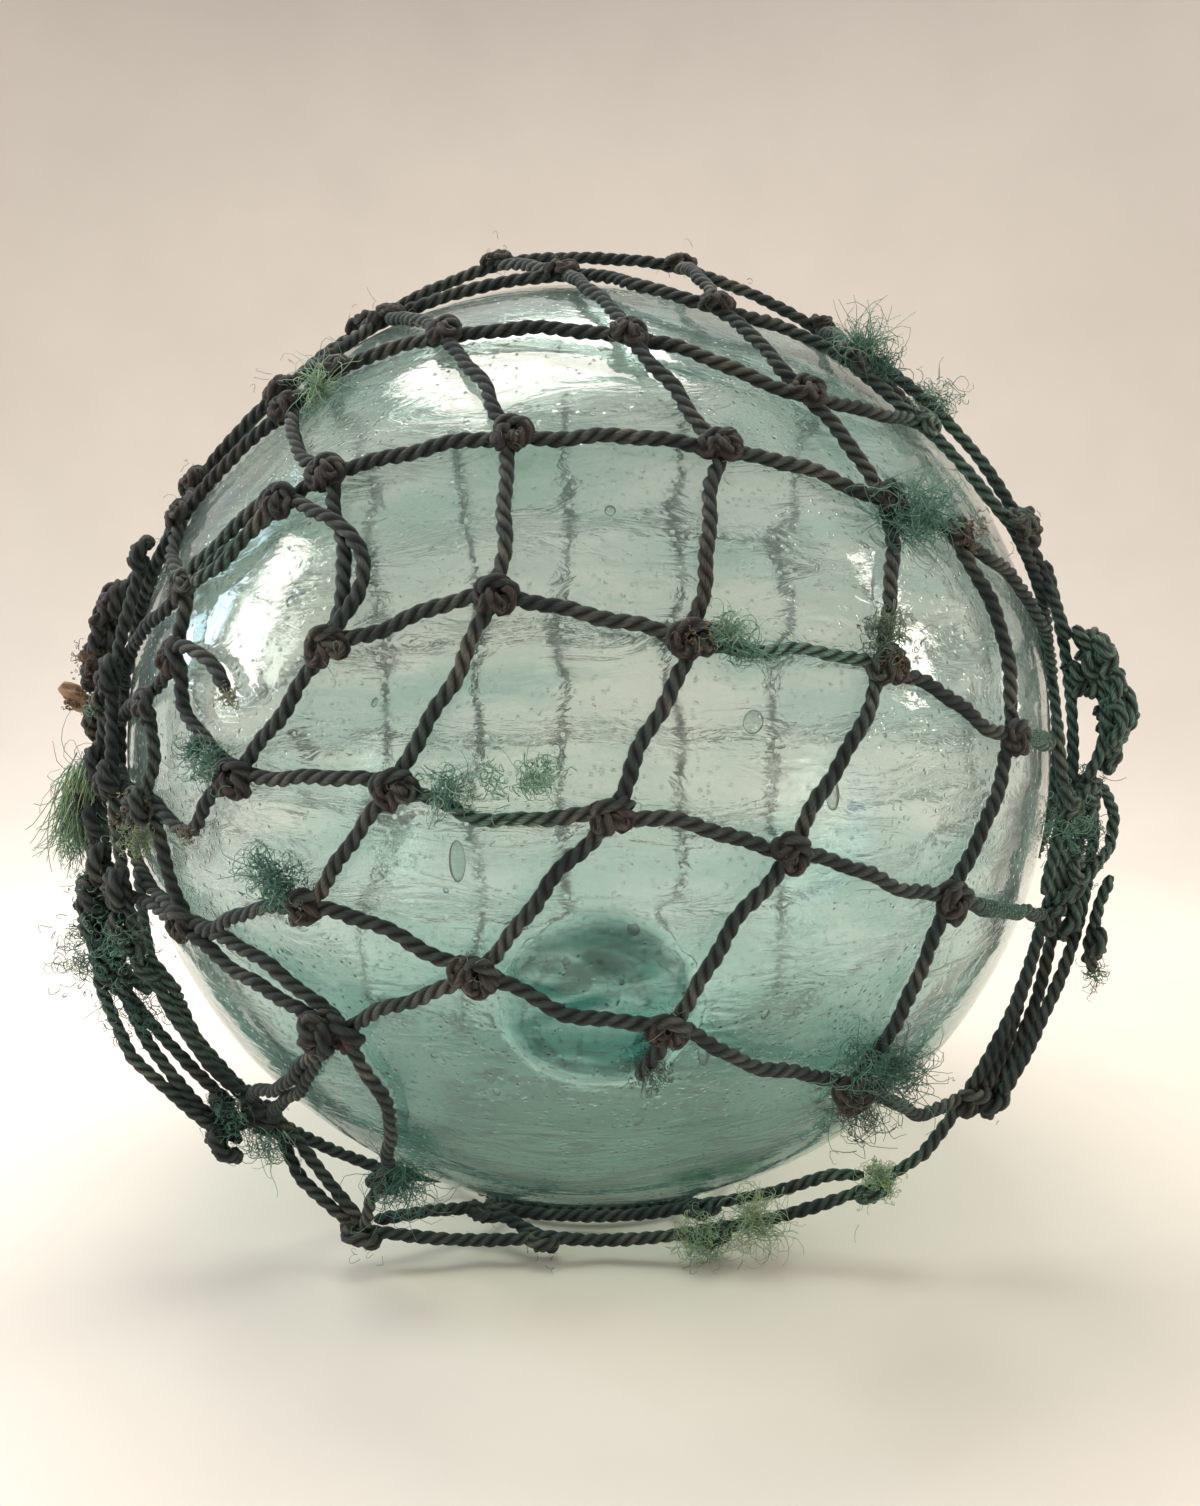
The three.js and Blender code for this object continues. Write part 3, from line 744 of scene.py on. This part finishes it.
tarred_rope, tree, output = new_material("tarred_rope")
streaks, blotches, crown, brown, pale = yarn_marks(tree, 2600, "crown", "brown", "pale")
tarred_stops = [(0.36, (0.010, 0.020, 0.020)), (0.54, (0.036, 0.051, 0.046)), (0.70, (0.100, 0.102, 0.078))]
tarred = ramp(tree, blotches, tarred_stops)
stained = ramp(tree, streaks, [(0.35, (0.012, 0.010, 0.009)), (0.66, (0.060, 0.042, 0.033))])
bleached = ramp(tree, streaks, [(0.35, (0.030, 0.090, 0.072)), (0.65, (0.15, 0.28, 0.21))])
colour = mixed(tree, pale, mixed(tree, brown, tarred, stained), bleached)
colour = mixed(tree, 1.0, colour, ramp(tree, streaks, [(0.30, 0.55), (0.70, 1.35)]), "MULTIPLY")
# Painted shade and highlight: by how proud each corner of a strand is, the grooves between the strands are
# painted nearly black as painted shade, and the strands' crowns are painted lighter, partly as wear and
# partly as painted highlight.
colour = mixed(tree, 1.0, colour, ramp(tree, crown, [(0.0, 0.03), (0.5, 0.36), (1.0, 1.45)]), "MULTIPLY")
rope_bump = add_node(tree, "ShaderNodeBump", strength=0.8, distance=0.0004, height=streaks)
shader = add_node(tree, "ShaderNodeBsdfPrincipled", base_color=colour, roughness=0.78)
tree.links.new(rope_bump.outputs["Normal"], shader.inputs["Normal"])
tree.links.new(shader.outputs["BSDF"], output.inputs["Surface"])

tied = set()
random = np.random.default_rng(17)
for letter, ropes in front_lines.items():
    work = RopeWork()
    for stops in ropes:
        places = stop_places(stops)
        points = [place(*stop) for stop in places]
        rope_on_ball(work, points, **fine_rope)
        for index, stop in enumerate(stops):
            if isinstance(stop, str) and stop[0] == letter and stop in knots and stop not in tied:
                tied.add(stop)
                size = places[index][3] if len(places[index]) > 3 else 1
                tie_knot(work, points, index, size)
    line = work.piece(f"laid_line_{letter}", tarred_rope)
    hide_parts(f"net_line_{letter}")

# ---------------------------------------------------------------------------
# The hidden side of the net. It goes on round the back and under the ball in
# the same rope, more evenly, with plainer knots.

back_turns = {"h": 105, "i": 125, "j": 146, "k": 166, "l": 185, "m": 201, "n": 219, "o": 241}
back_reaches = [-52, -36, -20, -4, 15, 33, 50]
leg_columns = [2, 3, 4, 5, 6]
for letter, turn in back_turns.items():
    for column, reach in enumerate(back_reaches, start=1):
        knots[f"{letter}{column}"] = (turn, reach)
back_letters = list(back_turns)
for letter, following in zip(back_letters, back_letters[1:] + [None]):
    work = RopeWork()
    names = [f"{letter}{column}" for column in range(1, len(back_reaches) + 1)]
    ropes = [["left", *names, "right"]]
    if following:
        ropes += [[f"{letter}{column}", f"{following}{column}"] for column in leg_columns]
    for stops in ropes:
        points = [place(*stop) for stop in stop_places(stops)]
        rope_on_ball(work, points, **plain_rope)
    points = [place(*knots[name]) for name in names]
    for index in range(len(points)):
        tie_knot(work, points, index, 1.0, plain_rope["corners_each"])
    line = work.piece(f"laid_line_{letter}", tarred_rope)
    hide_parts(f"net_line_{letter}")

# ---------------------------------------------------------------------------
# Gather rings and the ring under the ball. A turn of the same rope draws the
# lines' ends together on each side, and another holds the net underneath.

def ring_of_rope(work, centre, axis, radius, phase=0.0):
    """Lays a closed ring of rope about an axis, its ends meeting."""
    start = unit(np.cross(axis, [0.0, 0.6, 0.8]))
    other = np.cross(axis, start)
    angles = np.linspace(0, 2 * math.pi, int(2 * math.pi * radius / fine_rope["spacing"]))
    path = centre + radius * (np.cos(angles)[:, None] * start + np.sin(angles)[:, None] * other)
    lay_rope(work, path, path - ball_centre, phase=phase)


for side, sign in (("left", -1), ("right", 1)):
    work = RopeWork()
    reach = math.radians(gather_reach)
    centre = ball_centre + np.array([sign * rope_height * math.sin(reach), 0, 0])
    ring_radius = rope_height * math.cos(reach) + 2 * rope_gap
    ring_of_rope(work, centre, (1, 0, 0), ring_radius, phase=0.7)
    ring = work.piece(f"{side}_gather_rope", tarred_rope)
    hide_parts(f"{side}_gather_ring")

base_ring_angle = math.radians(19.5)
work = RopeWork()
ring_radius = rope_height * math.sin(base_ring_angle)
ring_centre = ball_centre - np.array([0, 0, rope_height * math.cos(base_ring_angle)])
ring_of_rope(work, ring_centre, (0, 0, 1), ring_radius)
for name in ("g1", "p1", "p2", "o2", "o4", "o6"):
    end = place(*knots[name])
    start = unit(end * [1, 1, 0]) * ring_radius + ring_centre
    rope_on_ball(work, [start, end], spacing=0.0014, corners_each=4)
ring = work.piece("base_ring_rope", tarred_rope)
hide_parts("base_ring")

# ---------------------------------------------------------------------------
# Loose ropes beside the gathers. The net's two edges are laced with odd ends
# of the same rope, knotted and worn, and some hang free of the glass.

loose_ropes = {
    "left_lacing_inner": [
        (45, -56, 4, 1), (34, -61, 3.6), (22, -63, 3.6, 1.2), (10, -63, 3.6), (-2, -62, 3.6, 1.2),
        (-14, -60, 4.5), (-24, -58, 6, 1.3), (-34, -55, 7.5), (-43, -50, 8), (-51, -44, 8), "g1",
    ],
    "left_lacing_outer": [
        (50, -59, 3.8), (43, -63, 4.5, 1.2), (35, -67, 4.5, 1.1), (26, -70, 4.5), (14, -71, 5, 1.3),
        (2, -71, 5), (-10, -71, 6, 1.1), (-22, -69, 9), (-33, -63, 13, 1.8), (-40, -57, 16, 1.4),
        (-47, -50, 18), (-54, -43, 18), (-58, -38, 17),
    ],
    "right_lacing": [
        (50, 60, 6), (37, 65, 4.5), (24, 67, 4, 1.2), (12, 67, 4), (0, 66, 4), (-9, 66, 4, 1.2),
        (-19, 63, 5), "e7",
    ],
    "right_tail": [
        (35, 63.5, 8.6), (27, 65, 12.5, 1.5), (20, 66, 13.5, 1.6), (11, 66, 13.5, 1.6), (4, 66, 12),
        (-3, 65, 8.4),
    ],
    "right_loop": [
        (-4, 69, 5), (-13, 70, 10), (-20, 68, 12), (-27, 66, 12.5), (-34, 65, 13.5), (-40, 60, 14.5),
        (-46, 53, 16), (-52, 45, 19.5),
    ],
    "right_stub": [(-26, 64.5, 19), (-33, 63.5, 18), (-39, 60.5, 19, 1.1), (-43, 59, 23)],
}


def lay_loose(work, stops):
    """Lays a loose rope through its stops and ties its knots."""
    points = [place(*stop) for stop in stop_places(stops)]
    rope_on_ball(work, points, spacing=0.0012, corners_each=fine_rope["corners_each"])
    for index, stop in enumerate(stops):
        if not isinstance(stop, str) and len(stop) > 3:
            tie_knot(work, points, index, stop[3], stain=0.6)


for name, stops in loose_ropes.items():
    work = RopeWork()
    lay_loose(work, stops)
    rope = work.piece(f"{name}_rope", tarred_rope)
    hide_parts(name)

# ---------------------------------------------------------------------------
# Odd ends. Short lengths of the same rope double the net where it was mended,
# and tangle at its two edges. They lie on the main ropes and on the glass.

odd_ends = {
    "mended_upper_left": [
        [
            (33, -30, 2.5, 1.0), (31.5, -27, 2.5), (29, -24, 3), (25, -21.2, 0.4), (20, -21.6, 0.4),
            (16.5, -23, 2.5),
        ],
        [(34, -31, 2), (31.5, -35, 0.8), (29.5, -39, 0.6), (28, -43, 1.5)],
        [(36, -31, 2.5), (34, -36, 1.5), (32, -40, 1.2), (29.5, -44.5, 2)],
    ],
    "stub_front": [[(-20.5, 6.5, 4.5), (-23, 5.5, 4.5), (-26, 5, 2.0)]],
    "cut_end_left": [[(19, -44, 3.5), (18.5, -41.5, 3.5), (15, -38.5, 1.4), (12, -36.3, 0.8)]],
    "upright_left": [[(12, -50.5, 1.5, 0.9), (3, -50.5, 0.4), (-4, -51.5, 3, 1.0)]],
    "chain_left": [
        [
            (47, -61, 4), (43, -64, 6.5, 1.3), (39, -65.5, 7, 1.3), (34, -67, 7, 1.2), (29, -68.5, 7, 1.3),
            (22, -70, 6.5),
        ],
        [
            (17, -66, 4, 1.1), (9, -67, 5), (1, -67.5, 5, 1.2), (-7, -68, 6), (-15, -67, 7, 1.2),
            (-24, -63.5, 8, 1.4),
        ],
        [(6, -69.5, 5), (-4, -69.5, 7), (-13, -69, 9, 1.2), (-22, -66, 10), (-30, -62, 12, 1.5)],
    ],
    "tangle_left": [
        [(-24, -64, 8, 1.2), (-27, -60, 6), (-25, -55, 2.5), (-21.5, -47, 1)],
        [(-31, -63, 12, 1.6), (-35, -60, 14, 1.7), (-39, -58, 13, 1.6), (-43, -57, 14, 1.5), (-46, -54, 10)],
        [
            (-29, -60, 6, 1.4), (-33, -57, 8, 1.5), (-37, -54, 6, 1.4), (-41, -51, 4), (-48, -51, 4.5),
            (-53, -47, 7),
        ],
        [(-38, -56, 16), (-44, -55, 16), (-51, -48.5, 13), (-56.5, -41, 11, 1.4)],
        [(-40, -53, 8), (-46, -52, 7), (-52, -46, 6), (-57, -38.5, 6)],
        [(-40, -57, 21), (-47, -49.5, 24), (-52, -45, 21), (-55.5, -38.5, 19, 1.3)],
    ],
    "doubled_lower_left": [
        [(-57, -39, 4, 1.4), (-59, -33, 7), (-60, -28, 12), (-60, -23.5, 17)],
        [(-25, -25.5, 4, 1.2), (-33, -29, 1.5), (-42, -34, 3), (-52, -39, 5), (-57, -39, 8)],
        [(-21.5, -46, 2.5), (-22.5, -42, 1), (-24, -34, 0.4), (-25, -25.5, 2)],
        [(-67, -12, 1.5, 1.1), (-64.5, -18, 7), (-61.5, -22.5, 15)],
    ],
    "doubled_right_edge": [
        [(61, 30, 4), (62, 38, 4), (58, 47, 4.5), (51, 55, 4.5, 1.2), (42, 61, 4.5), (33, 64.5, 6)],
        [(12, 60, 1.5), (2, 60.5, 2.5), (-8, 61.5, 3, 1.1), (-17, 60, 3), (-26, 58, 3)],
        [(-41, 58, 5), (-47, 53.5, 8), (-51, 49, 12), (-54, 44, 15)],
        [(-40, 60.5, 8), (-47, 55, 12), (-52, 50, 15), (-55, 45, 17, 1.3)],
    ],
    "tangle_right": [
        [
            (34, 64, 8), (29, 66.5, 11, 1.8), (25, 66.5, 8, 1.5), (19, 68, 13, 1.8), (14, 68, 15, 1.9),
            (9, 68, 11, 1.6),
        ],
        [(8, 68, 13), (4, 69, 12, 1.4), (0, 69, 11)],
        [(-1, 66, 8), (-8, 68.5, 14), (-15, 69, 17), (-22, 67, 17), (-27, 63, 12), (-31, 60, 6)],
        [(-9, 66, 7, 1.3), (-15, 67, 7, 1.2), (-21, 66, 8), (-28, 63, 7, 1.4), (-35, 61, 9, 1.3)],
    ],
}
for name, ropes in odd_ends.items():
    work = RopeWork()
    for stops in ropes:
        lay_loose(work, stops)
    work.piece(name, tarred_rope)

# Two ropes are served near the right gather, wound closely with thinner cord.
served_radius = 0.0026
work = RopeWork()
for stops, start, end in (((knots["d5"], (7, 66)), 0.12, 0.55), ((knots["e6"], knots["e7"]), 0.16, 0.58)):
    path = smooth_path([place(*stop) for stop in stops], 0.0006)
    path = path[int(start * len(path)) : int(end * len(path))]
    lay_rope(work, path, path - ball_centre, served_radius, pale=0.55, pitch=0.3)
work.piece("served_ends", tarred_rope)

# ---------------------------------------------------------------------------
# Frayed ends. Where a rope was cut or has chafed through, its yarns open out
# into curly green fibre; the oldest ends are bleached pale or stained tan.

clear_of_glass = 0.0016
clear_of_floor = 0.0004


def fray(
    work, stop, aim, count, length, spread, curl, foot, pale, brown=0.0, pull=(0, 0, 0), thickness=0.15
):
    """Opens a rope's end out into fibres, with its sizes in millimetres.

    Aim and pull are along the line, up the ball and out of it.
    """
    steps = 7
    length, foot, thickness = length / 1000, foot / 1000, thickness / 1000
    at = place(*stop)
    out = unit(at - ball_centre)
    up = unit(np.cross(out, [1.0, 0.0, 0.0]))
    if up[2] < 0:
        up = -up
    across = unit(np.array([1.0, 0.0, 0.0]) - out * out[0])
    axes = np.array([across, up, out])
    way = unit(np.array(aim) @ axes)
    drawn = np.array(pull) @ axes
    ways = way + spread * random.normal(size=(count, 3))
    bends = random.normal(size=(count, 3)) * curl
    strides = length / steps * random.uniform(0.3, 1.0, (count, 1))
    points = [at + random.normal(size=(count, 3)) * foot]
    for step in range(steps):
        ways = unit(ways + np.cross(bends, ways) * (0.6 + 1.6 * step / steps) + 1.4 * drawn)
        bends += random.normal(size=(count, 3)) * curl * 0.35
        points.append(points[-1] + ways * strides)
    lines = np.stack(points, axis=1)
    away = lines - ball_centre
    height = np.linalg.norm(away, axis=2)[..., None]
    lines = ball_centre + away / height * np.maximum(height, ball_radius + clear_of_glass)
    lines[..., 2] = np.maximum(lines[..., 2], clear_of_floor)
    outline = (np.radians([0, 120, 240]), np.ones(3))
    full = np.ones(steps + 1)
    taper = np.linspace(1, 0.5, steps + 1)
    for line in lines:
        outs = np.broadcast_to(out + 0.3 * random.normal(size=3), line.shape)
        shade = random.uniform(*pale)
        work.sweep(line, outs, thickness * taper, full, outline, np.full(3, 0.8), full * brown, full * shade)


frayed_fibre, tree, output = new_material("frayed_fibre")
streaks, blotches, brown, pale = yarn_marks(tree, 900, "brown", "pale")
green_stops = [
    (0.0, (0.022, 0.062, 0.052)), (0.5, (0.095, 0.26, 0.195)),
    (0.85, (0.33, 0.50, 0.36)), (1.0, (0.46, 0.58, 0.25)),
]
green = ramp(tree, pale, green_stops)
straw = ramp(tree, pale, [(0.0, (0.06, 0.035, 0.02)), (1.0, (0.36, 0.24, 0.14))])
streaky = ramp(tree, streaks, [(0.3, 0.7), (0.7, 1.2)])
colour = mixed(tree, 1.0, mixed(tree, brown, green, straw), streaky, "MULTIPLY")
shader = add_node(tree, "ShaderNodeBsdfPrincipled", base_color=colour, roughness=0.6)
tree.links.new(shader.outputs["BSDF"], output.inputs["Surface"])

# Each tuft's locks: place, aim, how many fibres, their length in millimetres, spread, curl, the width
# in millimetres that they spring from, how pale they are at least and at most, and how brown.
tufts = {
    "crown_tuft": [
        ((60, 30.5, 3), (-0.7, 0.6, 0.7), 230, 22, 0.42, 0.22, 1.3, (0.3, 0.8)),
        ((60, 32, 4), (0.1, 0.2, 1.0), 120, 12, 0.7, 0.5, 2.4, (0.2, 0.6)),
    ],
    "shoulder_tuft": [((63, 40, 4), (0.6, 0, 0.5), 190, 12, 0.7, 0.55, 3.2, (0.25, 0.8))],
    "upper_left_curls": [((51, -29, 2), (1.0, -0.25, 0.3), 110, 21, 0.35, 0.35, 1.4, (0.55, 1.0))],
    "upper_right_nest": [
        ((33, 31.5, 3), (0.15, -1.0, 0.35), 190, 26, 0.45, 0.4, 3.5, (0.2, 0.65)),
        ((33, 34, 3), (0.4, -0.2, 0.5), 130, 12, 0.8, 0.6, 3, (0.3, 0.7)),
        ((34, 39.5, 4), (0.2, -0.2, 0.7), 110, 6, 1.2, 0.7, 2.4, (0, 0.6), 1.0),
    ],
    "middle_curls": [
        ((15.5, 11.5, 2), (0.5, 0.5, 0.4), 170, 12, 0.6, 0.6, 1.6, (0.4, 0.9)),
        ((14.5, 13, 1.5), (1.0, -0.25, 0.2), 60, 17, 0.3, 0.4, 1.4, (0.4, 0.9)),
        ((15, 9, 3.5), (0, -0.3, 0.8), 70, 4, 1.2, 0.6, 2.6, (0, 0.5), 1.0),
    ],
    "right_nest": [
        ((17, 27.5, 3), (0, 0.5, 0.6), 190, 10, 0.9, 0.8, 2.8, (0.2, 0.7), 0.35),
        ((14, 28, 3.5), (0, -0.3, 0.8), 80, 5, 1.2, 0.6, 2.8, (0, 0.5), 1.0),
    ],
    "chafed_rope": [
        ((2.3, -12.5, 1.5), (0.7, -0.6, 0.3), 120, 14, 0.6, 0.45, 2, (0.3, 0.8)),
        ((3, -4, 1.5), (-0.7, 0.5, 0.3), 110, 11, 0.6, 0.5, 2.2, (0.4, 0.9)),
        ((2.8, -8, 1), (-0.4, -0.3, 0.3), 50, 10, 0.7, 0.5, 2.6, (0.3, 0.8)),
    ],
    "lower_left_tuft": [
        ((-9, -29, 3), (0, 0.3, 0.6), 260, 10, 0.9, 0.8, 2.8, (0.2, 0.6)),
        ((-8, -31, 2), (-0.5, 1.0, 0.3), 60, 19, 0.4, 0.45, 1.8, (0.2, 0.6)),
    ],
    "left_curls": [
        ((6, -41, 1), (0.2, -0.9, 0.25), 90, 15, 0.35, 0.35, 1.4, (0.2, 0.6)),
        ((3, -38, 2), (0.3, 0.4, 0.5), 160, 10, 0.8, 0.75, 2.4, (0.35, 0.8)),
        ((11.7, -36, 1.0), (0.5, -0.8, 0.3), 70, 5, 0.5, 0.3, 1.2, (0.3, 0.9), 0.6),
        ((-6, -42.5, 1.0), (0.4, -0.7, 0.3), 60, 4, 0.5, 0.3, 1.2, (0.3, 0.9), 0.8),
    ],
    "left_pale_curls": [
        ((-10, -53, 3), (0, -0.3, 0.6), 170, 9, 0.9, 0.85, 2.4, (0.6, 1.0), 0.25),
        ((-5, -52, 5), (0, -0.5, 0.5), 90, 6, 0.8, 0.6, 2.2, (0.4, 0.9), 0.9),
        ((-29, -63, 13), (-0.2, 0, 0.8), 190, 9, 0.9, 0.85, 3, (0.55, 1.0), 0.1),
        ((15, -66, 6), (0, -0.2, 0.6), 70, 8, 0.8, 0.6, 2.4, (0.5, 0.9)),
        ((29, -67, 10), (0, 0.2, 0.8), 120, 5, 1.2, 0.7, 3, (0, 0.5), 1.0),
    ],
    "low_left_wire": [((-51, -20.5, 3), (0.8, 0.6, 0.4), 170, 26, 0.42, 0.35, 2.2, (0.15, 0.55))],
    "big_knot_fray": [
        ((-34, 30, 3), (0.9, 0.35, 0.4), 200, 24, 0.45, 0.35, 3.4, (0.1, 0.5), 0.1),
        ((-38, 27, 3), (-0.1, -1.0, 0.4), 110, 20, 0.5, 0.4, 3.6, (0.1, 0.5), 0.2),
        ((-31, 27, 3), (-0.4, 1.0, 0.3), 80, 22, 0.4, 0.35, 2.6, (0.2, 0.6)),
        ((-35, 26, 4), (-0.3, 0, 0.8), 120, 6, 1.2, 0.7, 4, (0, 0.3), 1.0),
    ],
    "floor_tuft": [
        ((-61, 12, 10), (0.2, 0.4, 0.6), 220, 13, 0.7, 0.6, 3, (0.7, 1.0)),
        ((-61, 17, 9), (1.0, 0.1, 0.35), 170, 21, 0.4, 0.35, 2.8, (0.75, 1.0), 0.1),
    ],
    "yellow_green_ball": [((-58, 31, 14), (0.1, 0.2, 0.5), 260, 10, 0.9, 0.8, 2.4, (0.8, 1.0))],
    "left_dark_tangle": [
        ((-37, -58, 19), (-0.4, -0.3, 0.7), 220, 13, 0.9, 0.6, 5, (0.1, 0.6)),
        ((-33, -56, 12), (0.2, -0.2, 0.7), 160, 12, 0.9, 0.6, 5, (0.3, 0.8)),
        ((-44, -52, 16), (0.2, -0.5, 0.5), 90, 13, 0.8, 0.6, 5, (0.1, 0.5)),
    ],
    "low_left_curls": [
        ((-55.5, -40, 13), (-0.4, 0.2, 0.8), 190, 12, 0.8, 0.65, 3.4, (0.2, 0.7)),
        ((-57, -36, 12), (0.5, -0.7, 0.4), 110, 16, 0.5, 0.4, 2.8, (0.3, 0.8)),
    ],
    "right_moss": [
        ((-20, 65, 6), (0.4, 0.1, 0.7), 260, 10, 0.9, 0.7, 4.6, (0, 0.4), 0.1),
        ((-12, 61, 4), (0.1, 0.2, 0.6), 150, 11, 0.7, 0.5, 3.6, (0.35, 0.8)),
        ((-3, 67, 8), (0.6, -0.8, 0.5), 60, 10, 0.6, 0.4, 2, (0.1, 0.5), 0.4),
    ],
    "stub_frays": [
        ((-24.5, 5.5, 3), (0, -0.6, 0.5), 170, 6, 0.9, 0.6, 2.6, (0, 0.4), 0.3),
        ((-43, 59, 24), (0.2, -0.6, 0.5), 50, 9, 0.6, 0.4, 1.4, (0.2, 0.7), 0.2),
    ],
}
for name, locks in tufts.items():
    work = RopeWork()
    for lock in locks:
        fray(work, *lock)
    work.piece(name, frayed_fibre)

# Single hairs stand off the rope at every knot of the front.
work = RopeWork()
for letter in front_lines:
    for name, (turn, reach, *more) in knots.items():
        if name[0] == letter:
            lifted = (turn, reach, (more[0] if more else 0) + 1.5)
            fray(work, lifted, (0, -0.2, 0.6), 9, 8, 1.2, 0.35, 3.2, (0.1, 0.7), 0.4, thickness=0.10)
work.piece("stray_hairs", frayed_fibre)

# The combed end is one rope's fibres, tied at the top and hanging in a smooth lock down the net's edge.
work = RopeWork()
combed_look = {"spread": 0.15, "curl": 0.09, "foot": 2.4, "pale": (0.65, 0.98), "thickness": 0.24}
for stop, count, length in (((-3, -69, 9), 290, 30), ((-6, -69, 10), 260, 27), ((-10, -69, 11.5), 200, 23)):
    fray(work, stop, (-0.3, -0.8, 0.45), count, length, pull=(0.03, -0.13, -0.07), **combed_look)
fray(work, (-4, -70.5, 8), (-0.5, -0.2, 0.8), 30, 26, 0.6, 0.25, 1.8, (0.4, 0.9))
combed = work.piece("combed_end", frayed_fibre)
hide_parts("combed_tuft")

# The tan lumps are matted balls of the oldest fibre, each round a short core of rope: place and size.
for index, (stop, size) in enumerate((((31, -69, 9.8), 0.0050), ((21, -71.2, 12.8), 0.0068)), start=1):
    work = RopeWork()
    middle = place(*stop)
    out = unit(middle - ball_centre)
    core = middle + np.outer([-0.7, -0.2, 0.3, 0.7], size * (out + [0, 0, 0.8]))
    core = smooth_path(core, 0.0006, on_ball=False)
    core_outs = carried_outs(core, np.array([0.0, -1.0, 0.1]))
    lay_rope(work, core, core_outs, 0.62 * size, brown=1.0, pale=0.45 * index)
    for thickness, share in ((0.5, 500), (0.2, 900)):
        matted = {"spread": 1.6, "curl": 0.8, "foot": 220 * size, "pale": (0.3, 0.5 * index)}
        fray(work, stop, (0, 0, 1), 120, size * share, brown=1.0, thickness=thickness, **matted)
    lump = work.piece(f"tan_lump_{index}", frayed_fibre)
    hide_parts(f"tan_fibre_lump_{index}")
